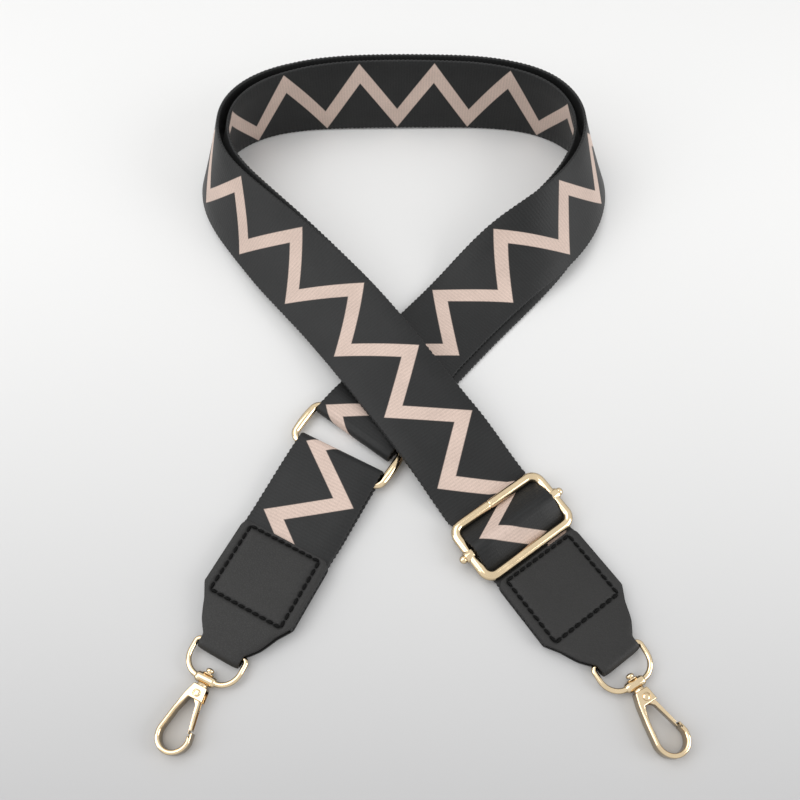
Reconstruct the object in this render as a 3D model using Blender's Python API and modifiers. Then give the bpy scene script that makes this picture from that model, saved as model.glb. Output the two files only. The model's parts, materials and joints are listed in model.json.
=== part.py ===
"""Detachable bag strap, shortened as far as it goes and laid down in a loop.

One long webbing is sewn into the right leather tab, laced through a slider, laid double round the
loop, folded round a ring and led back to the slider. A short webbing joins the ring to the left
leather tab. Each tab carries a swivel hook on a wire loop.

Units are metres, +Z is up and the strap lies on Z = 0. A leg's own axes are U, from the narrow
end of its leather tab towards the crossing, V, to the left of that, and Z. A hook's own axes are
X, away from the strap, Y, towards the gate's side, and Z.
"""
import math

import bmesh
import bpy
import numpy as np
from mathutils import Vector

COLLECTION = "detachable_bag_strap"

# Gap between pieces that touch
TOUCH_GAP = 0.0003

# Webbing
WEB_WIDTH = 0.038
WEB_THICK = 0.0014
LOOP_GAP = 0.0034
FLOOR_GAP = 0.0002

# Where the right leg starts, and the way it points
RIGHT_LEG_AT = (0.0779, -0.1235)
RIGHT_LEG_HEADING = math.radians(125.5)

# Route of the doubled webbing, by distance from the right tab's narrow end
LOOP_FROM = 0.1164
STATION = 0.025
BEND_SHARES = (0, 0, 0, 0, 0.066, 0, 0.535, 1, 0.94, 0.48, 0.044, 0, 0, 0.165, 0.702, 0.979,
               0.706, 0.384, 0.239, 0.115, 0)
LEAN_SHARES = (0, 0.05, 0.14, 0.29, 0.42, 0.60, 0.71, 0.77, 0.88, 0.98, 1.06, 1.08, 1.07, 1.04,
               0.95, 0.82, 0.71, 0.61, 0.46, 0.17, 0)
LOOP_TURN = math.radians(258.7)
END_TURN_BACK = math.radians(5.8)
TURN_BACK_FROM = 0.6014
TURN_BACK_LENGTH = 0.09
ROUTE_STEP = 0.001
ROW_STEP = 0.005

# Height of the upper band: it climbs from the slider, clears the ring's fold and sinks again
CLIMB_TO = 0.110
SINK_FROM = 0.145
SINK_TO = 0.225
OPENING_FROM = 0.170
OPENING_LENGTH = 0.050
CLOSING_FROM = 0.570

# Ring
RING_AT = 0.6925
RING_WIRE = 0.0028
RING_PLAY = 0.0024
RING_GAP = 0.0152
RING_CORNER = 0.0033
RING_TURN = math.radians(4.6)
RING_SIDE = 0.0005
FOLD_PLAY = 0.0006
FOLD_CLIMB = 0.0165

# Left leg and its short webbing
LEFT_LEG_TURN = math.radians(5.0)
LEFT_LEG_SIDE = 0.001
LEFT_BAR_DISTANCE = 0.0864
SHORT_CLIMB_FROM_GAP = 0.003
SHORT_CLIMB_TO_GAP = 0.003
SHORT_SINK_LENGTH = 0.010

# Leather tabs
LEATHER_THICK = 0.0013
TAB_LENGTH = 0.0484
TAB_CORNER = 0.003
NECK_WIDTH = 0.0168
NECK_LENGTH = 0.0054
TAPER_PLACES = ((0.0066, 0.0109), (0.0091, 0.0125), (0.0111, 0.0135), (0.0158, 0.0156))
SHOULDER_AT = 0.021
TAB_LEVEL_FROM = 0.0075
TAB_LEVEL_TO = 0.018
WEB_END_AT = 0.0205

# Square seam of a tab
SEAM_START = 0.0193
SEAM_END_MARGIN = 0.0014
SEAM_WIDTH = 0.0304
SEAM_CORNER = 0.0015
NEEDLE_THREAD = 0.0008
BOBBIN_THREAD = 0.0006
BOBBIN_LIFT = 0.00035
NEEDLE_SINK = 0.00007

# Slider
SLIDER_WIRE = 0.003
SLIDER_PLAY = 0.0008
SLIDER_TO_TAB_GAP = 0.001
SLIDER_DROP = 0.0006
SLIDER_CORNER = 0.0033
SLIDER_PASS_GAP = 0.0005
BAR_STEP = 0.0117
CENTRE_BAR_WIRE = 0.0024
BARREL_LENGTH = 0.0042
BARREL_WALL = 0.0006
KNOB_WIRE = 0.0032
KNOB_OVERHANG = 0.0006
TAB_EXIT_BEND = 0.0009
TAB_EXIT_PAST = 0.0002
RETURN_BEND = 0.003
END_TAIL = 0.0064
SLIDER_REACH = 0.0022
SLIDER_CUT = 0.0012
FRONT_STRETCH = 0.034

# Wire loop of a hook
LOOP_WIRE = 0.002
LOOP_BAR_AT = 0.0037
LOOP_BAR_PLAY = 0.0004
LOOP_INNER_WIDTH = 0.0184
LOOP_TOP_CORNER = 0.0016
LOOP_FOOT_CORNER = 0.007
LOOP_TO_BLOCK = 0.0012
LUG_WIRE = 0.0026
LUG_BOSS_WIDTH = 0.004

# Swivel
BAR_TO_BLOCK = 0.0141
POST_WIDTH = 0.0014
WASHER_WIDTH = 0.0046
WASHER_THICK = 0.0006
CAP_WIDTH = 0.0034
CAP_LENGTH = 0.0016
CAP_TOP = 0.0005

# Hook body, by distance from the top of its block
HOOK_THICK = 0.0054
BLOCK_TOP_WIDTH = 0.0054
BLOCK_LENGTH = 0.005
BLOCK_FOOT_SIDE = 0.0033
BLOCK_INNER_SIDE = 0.002
BLOCK_EDGE = 0.0004
ARM_WALL = 0.0017
ARM_PLACES = ((0.0039, 0.0038), (0.011, 0.0054))
BOWL_AT = 0.0178
BOWL_RADIUS = 0.0064
NOSE_AT = 0.0147
NOSE_SEAT = 0.0014
NOSE_LIP = 0.0007
SLOT_WALL = 0.0008
SLOT_TOP = 0.0009
SLOT_SIDE = 0.0019

# Gate, its rivet and its spring
GATE_SHEET = 0.0006
RIVET_AT = 0.0028
RIVET_SIDE = 0.00025
RIVET_WIDTH = 0.0016
RIVET_HEAD_WIDTH = 0.0026
RIVET_HEAD_THICK = 0.0004
GATE_EYE = 0.0016
GATE_OUTER_PLACES = ((0.0059, 0.0029), (0.0143, 0.00485))
GATE_INNER_PLACES = ((0.0064, 0.0016), (0.0155, 0.0041))
GATE_WEB_FROM = 0.0056
SPRING_WIRE = 0.00035
SPRING_PITCH = 0.0005
SPRING_LEG = 0.006
SPRING_TAIL = 0.0017

# Turn of each hook from the line of its leg
HOOK_TURNS = {"left": math.radians(3.0), "right": math.radians(-6.9)}

# One overrun serves all cuts
OVERRUN = 0.001

# Roundness of arcs, as steps in a half turn
ARC_STEPS = 12
TURNED_STEPS = 24

# Derived sizes
HALF_WEB = WEB_WIDTH / 2
PLY = WEB_THICK + TOUCH_GAP
LOOP_AXIS_Z = LEATHER_THICK + LOOP_BAR_PLAY + LOOP_WIRE / 2
RING_AXIS_Z = PLY + RING_WIRE / 2
RING_FOLD = RING_WIRE / 2 + TOUCH_GAP + WEB_THICK / 2
RING_SPACING = RING_GAP + RING_WIRE
BAND_TOP = 2 * PLY + RING_WIRE + TOUCH_GAP
TAB_WEB_Z = LEATHER_THICK + TOUCH_GAP + WEB_THICK / 2
SLIDER_PASS = SLIDER_WIRE / 2 + SLIDER_PASS_GAP + WEB_THICK / 2
LOWER_BAR_U = TAB_LENGTH + SLIDER_TO_TAB_GAP + SLIDER_WIRE / 2
CENTRE_BAR_U = LOWER_BAR_U + BAR_STEP
UPPER_BAR_U = CENTRE_BAR_U + BAR_STEP
LOWER_BAR_Z = TAB_WEB_Z - SLIDER_DROP + SLIDER_PASS
RETURN_Z = FLOOR_GAP + WEB_THICK / 2
UPPER_BAR_Z = RETURN_Z + PLY + SLIDER_PASS
CENTRE_BAR_Z = (LOWER_BAR_Z + UPPER_BAR_Z) / 2
END_FOLD = CENTRE_BAR_WIRE / 2 + TOUCH_GAP + WEB_THICK / 2
SLIDER_SIDE = (WEB_WIDTH + SLIDER_PLAY + SLIDER_WIRE) / 2
END_FOLD_HALF = SLIDER_SIDE - BARREL_LENGTH / 2 - TOUCH_GAP
SLIDER_END_U = UPPER_BAR_U + SLIDER_WIRE / 2 + SLIDER_REACH
SEAM_LENGTH = TAB_LENGTH - SEAM_START - SEAM_END_MARGIN
GATE_WIDTH = HOOK_THICK - 2 * SLOT_WALL - 2 * TOUCH_GAP


def clear_scene():
    """Remove the objects that a new file starts with."""
    for obj in list(bpy.data.objects):
        bpy.data.objects.remove(obj, do_unlink=True)


def new_collection(name):
    """Return a new collection linked to the scene."""
    collection = bpy.data.collections.new(name)
    bpy.context.scene.collection.children.link(collection)
    return collection


def material(name, colour, roughness, metallic=0.0):
    """Return a Principled material."""
    made = bpy.data.materials.new(name)
    made.use_nodes = True
    shader = made.node_tree.nodes["Principled BSDF"]
    shader.inputs["Base Color"].default_value = (*colour, 1.0)
    shader.inputs["Roughness"].default_value = roughness
    shader.inputs["Metallic"].default_value = metallic
    return made


def empty(name, parent, location, heading=0.0):
    """Return an empty that carries the pieces of one body or leg."""
    obj = bpy.data.objects.new(name, None)
    parts.objects.link(obj)
    obj.parent = parent
    obj.location = location
    obj.rotation_euler = (0, 0, heading)
    return obj


def place(obj, parent, surface):
    """Parent a piece and give it its material."""
    obj.parent = parent
    obj.data.materials.clear()
    obj.data.materials.append(surface)
    return obj


def mesh_object(name, mesh, collection=None):
    """Return an object for a mesh, linked to a collection."""
    obj = bpy.data.objects.new(name, mesh)
    (collection or parts).objects.link(obj)
    return obj


def smooth(obj, angle=math.radians(35)):
    """Shade a round piece smooth, with its real edges sharp."""
    obj.data.shade_smooth()
    obj.data.set_sharp_from_angle(angle=angle)
    return obj


def smoothstep(places, start, end):
    """Return a smooth rise from 0 at start to 1 at end."""
    share = np.clip((np.asarray(places, float) - start) / (end - start), 0, 1)
    return share * share * (3 - 2 * share)


def arc(centre, radius, start, end, steps=ARC_STEPS):
    """Return plan points of an arc between two angles."""
    angles = np.linspace(start, end, steps + 1)
    return [(centre[0] + radius * math.cos(a), centre[1] + radius * math.sin(a)) for a in angles]


def rounded_rectangle(length, width, radius, steps=5):
    """Return the plan points of a rectangle with round corners, centred on the origin."""
    points = []
    for turn, (sx, sy) in enumerate(((1, 1), (-1, 1), (-1, -1), (1, -1))):
        centre = (sx * (length / 2 - radius), sy * (width / 2 - radius))
        points += arc(centre, radius, turn * math.pi / 2, (turn + 1) * math.pi / 2, steps)
    return points


def ribbon(name, rows, thickness, parent, surface):
    """Return a flat strip: a grid laid along its middle surface, made solid with Solidify."""
    rows = np.asarray(rows, float)
    down, across = rows.shape[:2]
    bm = bmesh.new()
    bmesh.ops.create_grid(bm, x_segments=across - 1, y_segments=down - 1, size=thickness)
    bm.verts.ensure_lookup_table()
    for vert, point in zip(bm.verts, rows.reshape(-1, 3)):
        vert.co = point
    mesh = bpy.data.meshes.new(name)
    bm.to_mesh(mesh)
    bm.free()
    obj = place(mesh_object(name, mesh), parent, surface)
    solid = obj.modifiers.new("thickness", "SOLIDIFY")
    solid.thickness = thickness
    solid.offset = 0
    solid.use_even_offset = True
    return smooth(obj)


def strip_rows(path, half_widths, across=3):
    """Return rows of points for a strip that lies along a path of (u, z) places."""
    shares = np.linspace(1, -1, across)
    return [[(u, half * share, z) for share in shares] for (u, z), half in zip(path, half_widths)]


def tube(name, points, width, parent, surface, cyclic=False, factors=None, resolution=2,
         collection=None):
    """Return a round wire of one width along points, with filled caps where it is open."""
    curve = bpy.data.curves.new(name, "CURVE")
    curve.dimensions = "3D"
    curve.bevel_depth = width / 2
    curve.bevel_resolution = resolution
    curve.use_fill_caps = not cyclic
    spline = curve.splines.new("POLY")
    spline.points.add(len(points) - 1)
    spline.use_cyclic_u = cyclic
    for index, (target, point) in enumerate(zip(spline.points, points)):
        target.co = (*point, 1)
        target.radius = factors[index] if factors else 1
        target.tilt = 0
    spline.use_smooth = True
    obj = bpy.data.objects.new(name, curve)
    (collection or parts).objects.link(obj)
    return place(obj, parent, surface)


def as_mesh(obj, collection=None):
    """Turn a curve object into a closed mesh object of the same name and place."""
    name, parent, surface = obj.name, obj.parent, obj.data.materials[0]
    bpy.context.view_layer.update()
    graph = bpy.context.evaluated_depsgraph_get()
    mesh = bpy.data.meshes.new_from_object(obj.evaluated_get(graph))
    bm = bmesh.new()
    bm.from_mesh(mesh)
    bmesh.ops.remove_doubles(bm, verts=bm.verts, dist=TOUCH_GAP / 100)
    bmesh.ops.recalc_face_normals(bm, faces=bm.faces)
    bm.to_mesh(mesh)
    bm.free()
    matrix = obj.matrix_world.copy()
    bpy.data.objects.remove(obj, do_unlink=True)
    made = mesh_object(name, mesh, collection)
    made.parent = parent
    made.matrix_world = matrix
    made.data.materials.clear()
    made.data.materials.append(surface)
    return made


def plate(name, outline, thickness, parent, surface, collection=None):
    """Return a flat outline as a plate of one thickness, half above and half below its plane."""
    curve = bpy.data.curves.new(name, "CURVE")
    curve.dimensions = "2D"
    curve.fill_mode = "BOTH"
    curve.extrude = thickness / 2
    spline = curve.splines.new("POLY")
    spline.points.add(len(outline) - 1)
    spline.use_cyclic_u = True
    for target, point in zip(spline.points, outline):
        target.co = (*point, 0, 1)
    obj = bpy.data.objects.new(name, curve)
    (collection or parts).objects.link(obj)
    return as_mesh(place(obj, parent, surface), collection)


def cylinder(name, width, length, parent, surface, location, axis, collection=None):
    """Return a cylinder centred on a place, along the x, y or z axis of its parent."""
    bm = bmesh.new()
    bmesh.ops.create_cone(bm, cap_ends=True, segments=TURNED_STEPS, radius1=width / 2,
                          radius2=width / 2, depth=length)
    mesh = bpy.data.meshes.new(name)
    bm.to_mesh(mesh)
    bm.free()
    obj = place(mesh_object(name, mesh, collection), parent, surface)
    obj.location = location
    obj.rotation_euler = Vector(axis).to_track_quat("Z", "Y").to_euler()
    return smooth(obj)


def turned(name, profile, parent, surface, location, axis):
    """Return a turned piece from (radius, height) points listed down its outer side."""
    mesh = bpy.data.meshes.new(name)
    count = len(profile)
    loop_back = [(count - 1, 0)] if profile[0][0] > 0 else []
    edges = [(i, i + 1) for i in range(count - 1)] + loop_back
    mesh.from_pydata([(radius, 0, height) for radius, height in profile], edges, [])
    obj = place(mesh_object(name, mesh), parent, surface)
    obj.location = location
    obj.rotation_euler = Vector(axis).to_track_quat("Z", "Y").to_euler()
    screw = obj.modifiers.new("turn", "SCREW")
    screw.steps = TURNED_STEPS
    screw.render_steps = TURNED_STEPS
    screw.use_merge_vertices = True
    screw.merge_threshold = TOUCH_GAP / 100
    screw.use_smooth_shade = True
    return obj


def cut(obj, cutter, operation="DIFFERENCE"):
    """Cut a piece with another object, or join it to one, and keep that object out of sight."""
    modifier = obj.modifiers.new(operation.lower(), "BOOLEAN")
    modifier.operation = operation
    modifier.object = cutter
    modifier.solver = "EXACT"
    cutter.hide_render = True
    cutter.display_type = "WIRE"


def route():
    """Return the doubled webbing's plan: distances, edge points, headings and leans."""
    u = np.arange(0, RING_AT + WEB_WIDTH, ROUTE_STEP)
    stations = LOOP_FROM + STATION * np.arange(len(BEND_SHARES))
    bend = np.interp(u, stations, BEND_SHARES, left=0, right=0)
    bend *= LOOP_TURN / (bend.sum() * ROUTE_STEP)
    back = (u >= TURN_BACK_FROM) & (u <= TURN_BACK_FROM + TURN_BACK_LENGTH)
    bend = bend - back * END_TURN_BACK / TURN_BACK_LENGTH
    heading = RIGHT_LEG_HEADING - np.concatenate(([0], np.cumsum(bend)[:-1])) * ROUTE_STEP
    window = int(round(STATION / ROUTE_STEP))
    lean = np.interp(u, stations, LEAN_SHARES, left=0, right=0)
    lean = np.convolve(lean, np.ones(window) / window, mode="same") * math.pi / 2
    side = np.array((-math.sin(RIGHT_LEG_HEADING), math.cos(RIGHT_LEG_HEADING)))
    start = np.array(RIGHT_LEG_AT) + side * HALF_WEB
    ahead = np.stack([np.cos(heading), np.sin(heading)], 1)
    middle = (ahead[1:] + ahead[:-1]) / 2 * ROUTE_STEP
    edge = start + np.concatenate(([[0, 0]], np.cumsum(middle, 0)))
    return {"u": u, "edge": edge, "heading": heading, "lean": lean}


def band_lift(u):
    """Return the height of the band's underside over the surface."""
    climb = FLOOR_GAP + (BAND_TOP - FLOOR_GAP) * smoothstep(u, UPPER_BAR_U, CLIMB_TO)
    return climb * (1 - smoothstep(u, SINK_FROM, SINK_TO))


def layer_height(u, outer):
    """Return the height of a layer's middle over the inner layer's inner face."""
    u = np.asarray(u, float)
    if not outer:
        return np.full_like(u, WEB_THICK / 2)
    opened = smoothstep(u, OPENING_FROM, OPENING_FROM + OPENING_LENGTH)
    closed = smoothstep(u, CLOSING_FROM, CLOSING_FROM + OPENING_LENGTH)
    gap = TOUCH_GAP + (LOOP_GAP - TOUCH_GAP) * (opened - closed)
    height = WEB_THICK / 2 + WEB_THICK + gap
    level = RING_AT - HALF_WEB * math.tan(RING_TURN) - RING_WIRE / 2 - TOUCH_GAP
    over_bar = RING_AXIS_Z + RING_FOLD - WEB_THICK / 2 - PLY
    return height + over_bar * smoothstep(u, level - FOLD_CLIMB, level)


def band_rows(track, distances, heights, shift=0.0):
    """Return rows across the webbing at distances along the route."""
    distances = np.atleast_1d(np.asarray(distances, float))
    heading = np.interp(distances, track["u"], track["heading"])
    lean = np.interp(distances, track["u"], track["lean"])
    edge = np.stack([np.interp(distances, track["u"], track["edge"][:, i]) for i in (0, 1)], 1)
    edge = edge + shift * np.stack([np.cos(heading), np.sin(heading)], 1)
    inward = np.stack([np.sin(heading), -np.cos(heading), np.zeros_like(heading)], 1)
    up = np.array((0, 0, 1.0))
    across = np.cos(lean)[:, None] * inward + np.sin(lean)[:, None] * up
    normal = -np.sin(lean)[:, None] * inward + np.cos(lean)[:, None] * up
    base = np.concatenate([edge, np.zeros((len(edge), 1))], 1)
    past_upright = np.maximum(0, -np.cos(lean)) * (2 * WEB_THICK + LOOP_GAP)
    base = base + up * (band_lift(distances) + past_upright)[:, None]
    base = base + normal * np.asarray(heights, float)[:, None]
    shares = np.linspace(0, WEB_WIDTH, 3)
    return [[row + side * share for share in shares] for row, side in zip(base, across)]


def steps_between(start, end, step=ROW_STEP):
    """Return evenly spaced places from start to end, about a step apart."""
    count = max(2, int(round(abs(end - start) / step)) + 1)
    return np.linspace(start, end, count)


def make_main_webbing(track, surface):
    """Outer layer from the slider round to the ring, fold and inner layer back again."""
    start = SLIDER_END_U + FRONT_STRETCH + TOUCH_GAP
    fold_at = RING_AT + HALF_WEB * math.tan(RING_TURN) + FOLD_PLAY
    outward = steps_between(start, fold_at)
    rows = band_rows(track, outward, layer_height(outward, True))
    for angle in np.linspace(math.pi / 2, -math.pi / 2, ARC_STEPS + 1)[1:-1]:
        height = RING_AXIS_Z + RING_FOLD * math.sin(angle)
        rows += band_rows(track, [fold_at], [height], RING_FOLD * math.cos(angle))
    inward = outward[::-1]
    rows += band_rows(track, inward, layer_height(inward, False))
    return ribbon("main_webbing", rows, WEB_THICK, None, surface)


def make_front_stretches(track, surface):
    """The two layers between the slider and the crossing, which give way to the slider."""
    places = steps_between(SLIDER_END_U + TOUCH_GAP, SLIDER_END_U + FRONT_STRETCH)
    for name, outer in (("webbing_before_crossing", True), ("return_before_crossing", False)):
        rows = band_rows(track, places, layer_height(places, outer))
        ribbon(name, rows, WEB_THICK, None, surface)


def belt(circles, steps=6):
    """Return the path of a belt along signed circles, (u, z, radius), from end to end.

    A positive radius turns the path to the left round its circle, a negative one to the right,
    and a zero radius is a plain point.
    """
    headings = []
    for (u0, z0, r0), (u1, z1, r1) in zip(circles, circles[1:]):
        span = math.hypot(u1 - u0, z1 - z0)
        headings.append(math.atan2(z1 - z0, u1 - u0) - math.asin((r1 - r0) / span))
    points = []
    for index, (u, z, radius) in enumerate(circles):
        first = headings[max(index - 1, 0)]
        last = headings[min(index, len(headings) - 1)]
        if radius == 0:
            points.append((u, z))
            continue
        turn = (last - first) % (2 * math.pi) if radius > 0 else -((first - last) % (2 * math.pi))
        count = max(1, int(math.ceil(abs(turn) / math.pi * 2 * steps)))
        for angle in np.linspace(first, first + turn, count + 1):
            points.append((u + radius * math.sin(angle), z - radius * math.cos(angle)))
    return points


def resampled(path, step):
    """Return a path with no run longer than a step."""
    points = [path[0]]
    for (u0, z0), (u1, z1) in zip(path, path[1:]):
        count = max(1, int(math.ceil(math.hypot(u1 - u0, z1 - z0) / step)))
        for index in range(1, count + 1):
            share = index / count
            points.append((u0 + (u1 - u0) * share, z0 + (z1 - z0) * share))
    return points


def between(path, low, high):
    """Return the stretch of a path that lies between two values of u, cut square to u."""
    us = np.array([p[0] for p in path])
    zs = np.array([p[1] for p in path])
    inside = [(u, z) for u, z in path if low < u < high]
    first = [(low, float(np.interp(low, us, zs)))] if us[0] < low else []
    last = [(high, float(np.interp(high, us, zs)))] if us[-1] > high else []
    return first + inside + last


def make_slider_webbing(leg, slider, surface):
    """The lacing under, over and under the slider's bars, and the fold round its centre bar."""
    end_lift = float(band_lift(SLIDER_END_U))
    lacing = belt([
        (WEB_END_AT, TAB_WEB_Z, 0),
        (TAB_LENGTH + TAB_EXIT_PAST, TAB_WEB_Z - TAB_EXIT_BEND, -TAB_EXIT_BEND),
        (LOWER_BAR_U, LOWER_BAR_Z, SLIDER_PASS),
        (CENTRE_BAR_U, CENTRE_BAR_Z, -(END_FOLD + PLY)),
        (UPPER_BAR_U, UPPER_BAR_Z, SLIDER_PASS),
        (SLIDER_END_U, end_lift + WEB_THICK / 2 + PLY, 0)])
    lacing = resampled(lacing, ROW_STEP)
    cut_at = LOWER_BAR_U - SLIDER_CUT
    tab_side = between(lacing, -WEB_WIDTH, cut_at - TOUCH_GAP)
    slider_side = between(lacing, cut_at, TAB_LENGTH + WEB_WIDTH)
    ribbon("webbing_at_tab", strip_rows(tab_side, [HALF_WEB] * len(tab_side)), WEB_THICK, leg,
           surface)
    local = [(u - CENTRE_BAR_U, z - CENTRE_BAR_Z) for u, z in slider_side]
    ribbon("webbing_in_slider", strip_rows(local, [HALF_WEB] * len(local)), WEB_THICK, slider,
           surface)
    tail_heading = -math.asin((END_FOLD + PLY + SLIDER_PASS) / BAR_STEP)
    tail_drop = END_FOLD / math.cos(tail_heading) + END_TAIL * math.tan(tail_heading)
    fold = belt([
        (SLIDER_END_U, end_lift + WEB_THICK / 2, 0),
        (UPPER_BAR_U, RETURN_Z + RETURN_BEND, -RETURN_BEND),
        (CENTRE_BAR_U, CENTRE_BAR_Z, -END_FOLD),
        (CENTRE_BAR_U + END_TAIL, CENTRE_BAR_Z + tail_drop, 0)])
    fold = resampled(fold, ROW_STEP)
    local = [(u - CENTRE_BAR_U, z - CENTRE_BAR_Z) for u, z in fold]
    ribbon("webbing_end_fold", strip_rows(local, [END_FOLD_HALF] * len(local)), WEB_THICK,
           slider, surface)


def make_slider(slider, metal):
    """Wire frame of the slider and its centre bar, whose barrels slide on the frame's sides."""
    pitch = math.atan2(UPPER_BAR_Z - LOWER_BAR_Z, 2 * BAR_STEP)
    length = math.hypot(UPPER_BAR_Z - LOWER_BAR_Z, 2 * BAR_STEP)
    outline = [(x, y, 0) for x, y in rounded_rectangle(length, 2 * SLIDER_SIDE, SLIDER_CORNER)]
    frame = tube("slider_frame", outline, SLIDER_WIRE, slider, metal, cyclic=True)
    frame.rotation_euler = (0, -pitch, 0)
    half_barrel = BARREL_LENGTH / 2
    bar_radius = CENTRE_BAR_WIRE / 2
    barrel_radius = SLIDER_WIRE / 2 + TOUCH_GAP + BARREL_WALL
    knob_radius = KNOB_WIRE / 2
    barrel_end = SLIDER_SIDE + half_barrel
    knob_at = barrel_end + KNOB_OVERHANG
    neck = math.asin(min(1.0, bar_radius / knob_radius))
    knob = [(knob_radius * math.sin(a), knob_at + knob_radius * math.cos(a))
            for a in np.linspace(0, math.pi - neck, ARC_STEPS // 2 + 1)]
    shoulder = barrel_radius - bar_radius
    half = knob + [
        (bar_radius, barrel_end),
        (barrel_radius - shoulder / 3, barrel_end - shoulder / 6),
        (barrel_radius, barrel_end - shoulder / 2),
        (barrel_radius, SLIDER_SIDE - half_barrel + shoulder / 2),
        (barrel_radius - shoulder / 3, SLIDER_SIDE - half_barrel + shoulder / 6),
        (bar_radius, SLIDER_SIDE - half_barrel)]
    half = [point for index, point in enumerate(half) if index == 0 or point[1] < half[index - 1][1]]
    profile = half + [(radius, -height) for radius, height in reversed(half)]
    bar = turned("slider_centre_bar", profile, slider, metal, (0, 0, 0), (0, 1, 0))
    for side, word in ((1, "left"), (-1, "right")):
        bore = cylinder(f"barrel_bore_{word}", SLIDER_WIRE + 2 * TOUCH_GAP,
                        4 * barrel_radius, slider, metal, (0, side * SLIDER_SIDE, 0),
                        (math.cos(pitch), 0, math.sin(pitch)), cutters)
        cut(bar, bore)


def make_ring(ring, metal):
    """Rectangular ring, with its upper bar on the origin of its body."""
    width = WEB_WIDTH + RING_PLAY + RING_WIRE
    outline = [(x - RING_SPACING / 2, y, 0)
               for x, y in rounded_rectangle(RING_SPACING, width, RING_CORNER)]
    tube("ring", outline, RING_WIRE, ring, metal, cyclic=True)


def make_short_webbing(leg, surface):
    """Short webbing: out of the left tab, over and round the ring's lower bar and back."""
    skew = HALF_WEB * math.tan(LEFT_LEG_TURN)
    fold_at = LEFT_BAR_DISTANCE + skew + FOLD_PLAY
    level = LEFT_BAR_DISTANCE - skew - RING_WIRE / 2 - SHORT_CLIMB_TO_GAP
    outward = steps_between(WEB_END_AT, fold_at)
    upper = TAB_WEB_Z + PLY
    lower = WEB_THICK / 2
    rise = smoothstep(outward, TAB_LENGTH + SHORT_CLIMB_FROM_GAP, level)
    path = [(u, upper + (RING_AXIS_Z + RING_FOLD - upper) * s) for u, s in zip(outward, rise)]
    for angle in np.linspace(math.pi / 2, -math.pi / 2, ARC_STEPS + 1)[1:-1]:
        path.append((fold_at + RING_FOLD * math.cos(angle), RING_AXIS_Z + RING_FOLD * math.sin(angle)))
    inward = outward[::-1]
    sink_from = TAB_LENGTH + TOUCH_GAP
    sink = smoothstep(inward, sink_from, sink_from + SHORT_SINK_LENGTH)
    path += [(u, TAB_WEB_Z + (lower - TAB_WEB_Z) * s) for u, s in zip(inward, sink)]
    ribbon("short_webbing", strip_rows(path, [HALF_WEB] * len(path)), WEB_THICK, leg, surface)


def tab_half_width(u):
    """Return half the width of a leather tab at a distance from its narrow end."""
    places = [0, NECK_LENGTH] + [p[0] for p in TAPER_PLACES] + [SHOULDER_AT]
    halves = [NECK_WIDTH / 2] * 2 + [p[1] for p in TAPER_PLACES] + [HALF_WEB]
    half = np.interp(u, places, halves)
    into_corner = max(0.0, u - (TAB_LENGTH - TAB_CORNER))
    drop = TAB_CORNER - math.sqrt(max(0.0, TAB_CORNER ** 2 - into_corner ** 2))
    return float(half) - drop


def make_tab(side, leg, plies, leather, thread):
    """Leather tab folded round the hook's wire loop, over the webbing's plies, with its seam."""
    fold = LOOP_WIRE / 2 + LOOP_BAR_PLAY + LEATHER_THICK / 2
    fold_at = fold + LEATHER_THICK / 2
    top = LEATHER_THICK + TOUCH_GAP + plies * PLY + LEATHER_THICK / 2
    corner = [TAB_LENGTH - TAB_CORNER + TAB_CORNER * math.sin(a)
              for a in np.linspace(0, math.pi / 2, 5)]
    corner[-1] -= TAB_CORNER / 100
    taper = [NECK_LENGTH] + [p[0] for p in TAPER_PLACES] + [SHOULDER_AT]
    level = list(steps_between(TAB_LEVEL_FROM, TAB_LEVEL_TO, ROW_STEP / 2))
    outward = sorted(set([fold_at] + taper + level + corner))
    fold_top = LOOP_AXIS_Z + fold
    path = [(u, LEATHER_THICK / 2) for u in reversed(outward)]
    for angle in np.linspace(-math.pi / 2, -3 * math.pi / 2, ARC_STEPS + 1)[1:-1]:
        path.append((fold_at + fold * math.cos(angle), LOOP_AXIS_Z + fold * math.sin(angle)))
    fall = smoothstep(outward, TAB_LEVEL_FROM, TAB_LEVEL_TO)
    path += [(u, fold_top + (top - fold_top) * s) for u, s in zip(outward, fall)]
    halves = [tab_half_width(u) for u, z in path]
    tab = ribbon(f"{side}_leather_tab", strip_rows(path, halves), LEATHER_THICK, leg, leather)
    square = rounded_rectangle(SEAM_LENGTH, SEAM_WIDTH, SEAM_CORNER, 3)
    middle = SEAM_START + SEAM_LENGTH / 2
    surface_z = top + LEATHER_THICK / 2
    threads = (("needle", NEEDLE_THREAD, surface_z - NEEDLE_SINK),
               ("bobbin", BOBBIN_THREAD, BOBBIN_LIFT))
    for kind, width, z in threads:
        points = [(middle + x, y, z) for x, y in square]
        tube(f"{side}_{kind}_thread", points, width, leg, thread, cyclic=True, resolution=1)
        groove = tube(f"{side}_{kind}_groove", points, width + 2 * TOUCH_GAP, leg, thread,
                      cyclic=True, resolution=1, collection=cutters)
        cut(tab, as_mesh(groove, cutters))


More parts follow.
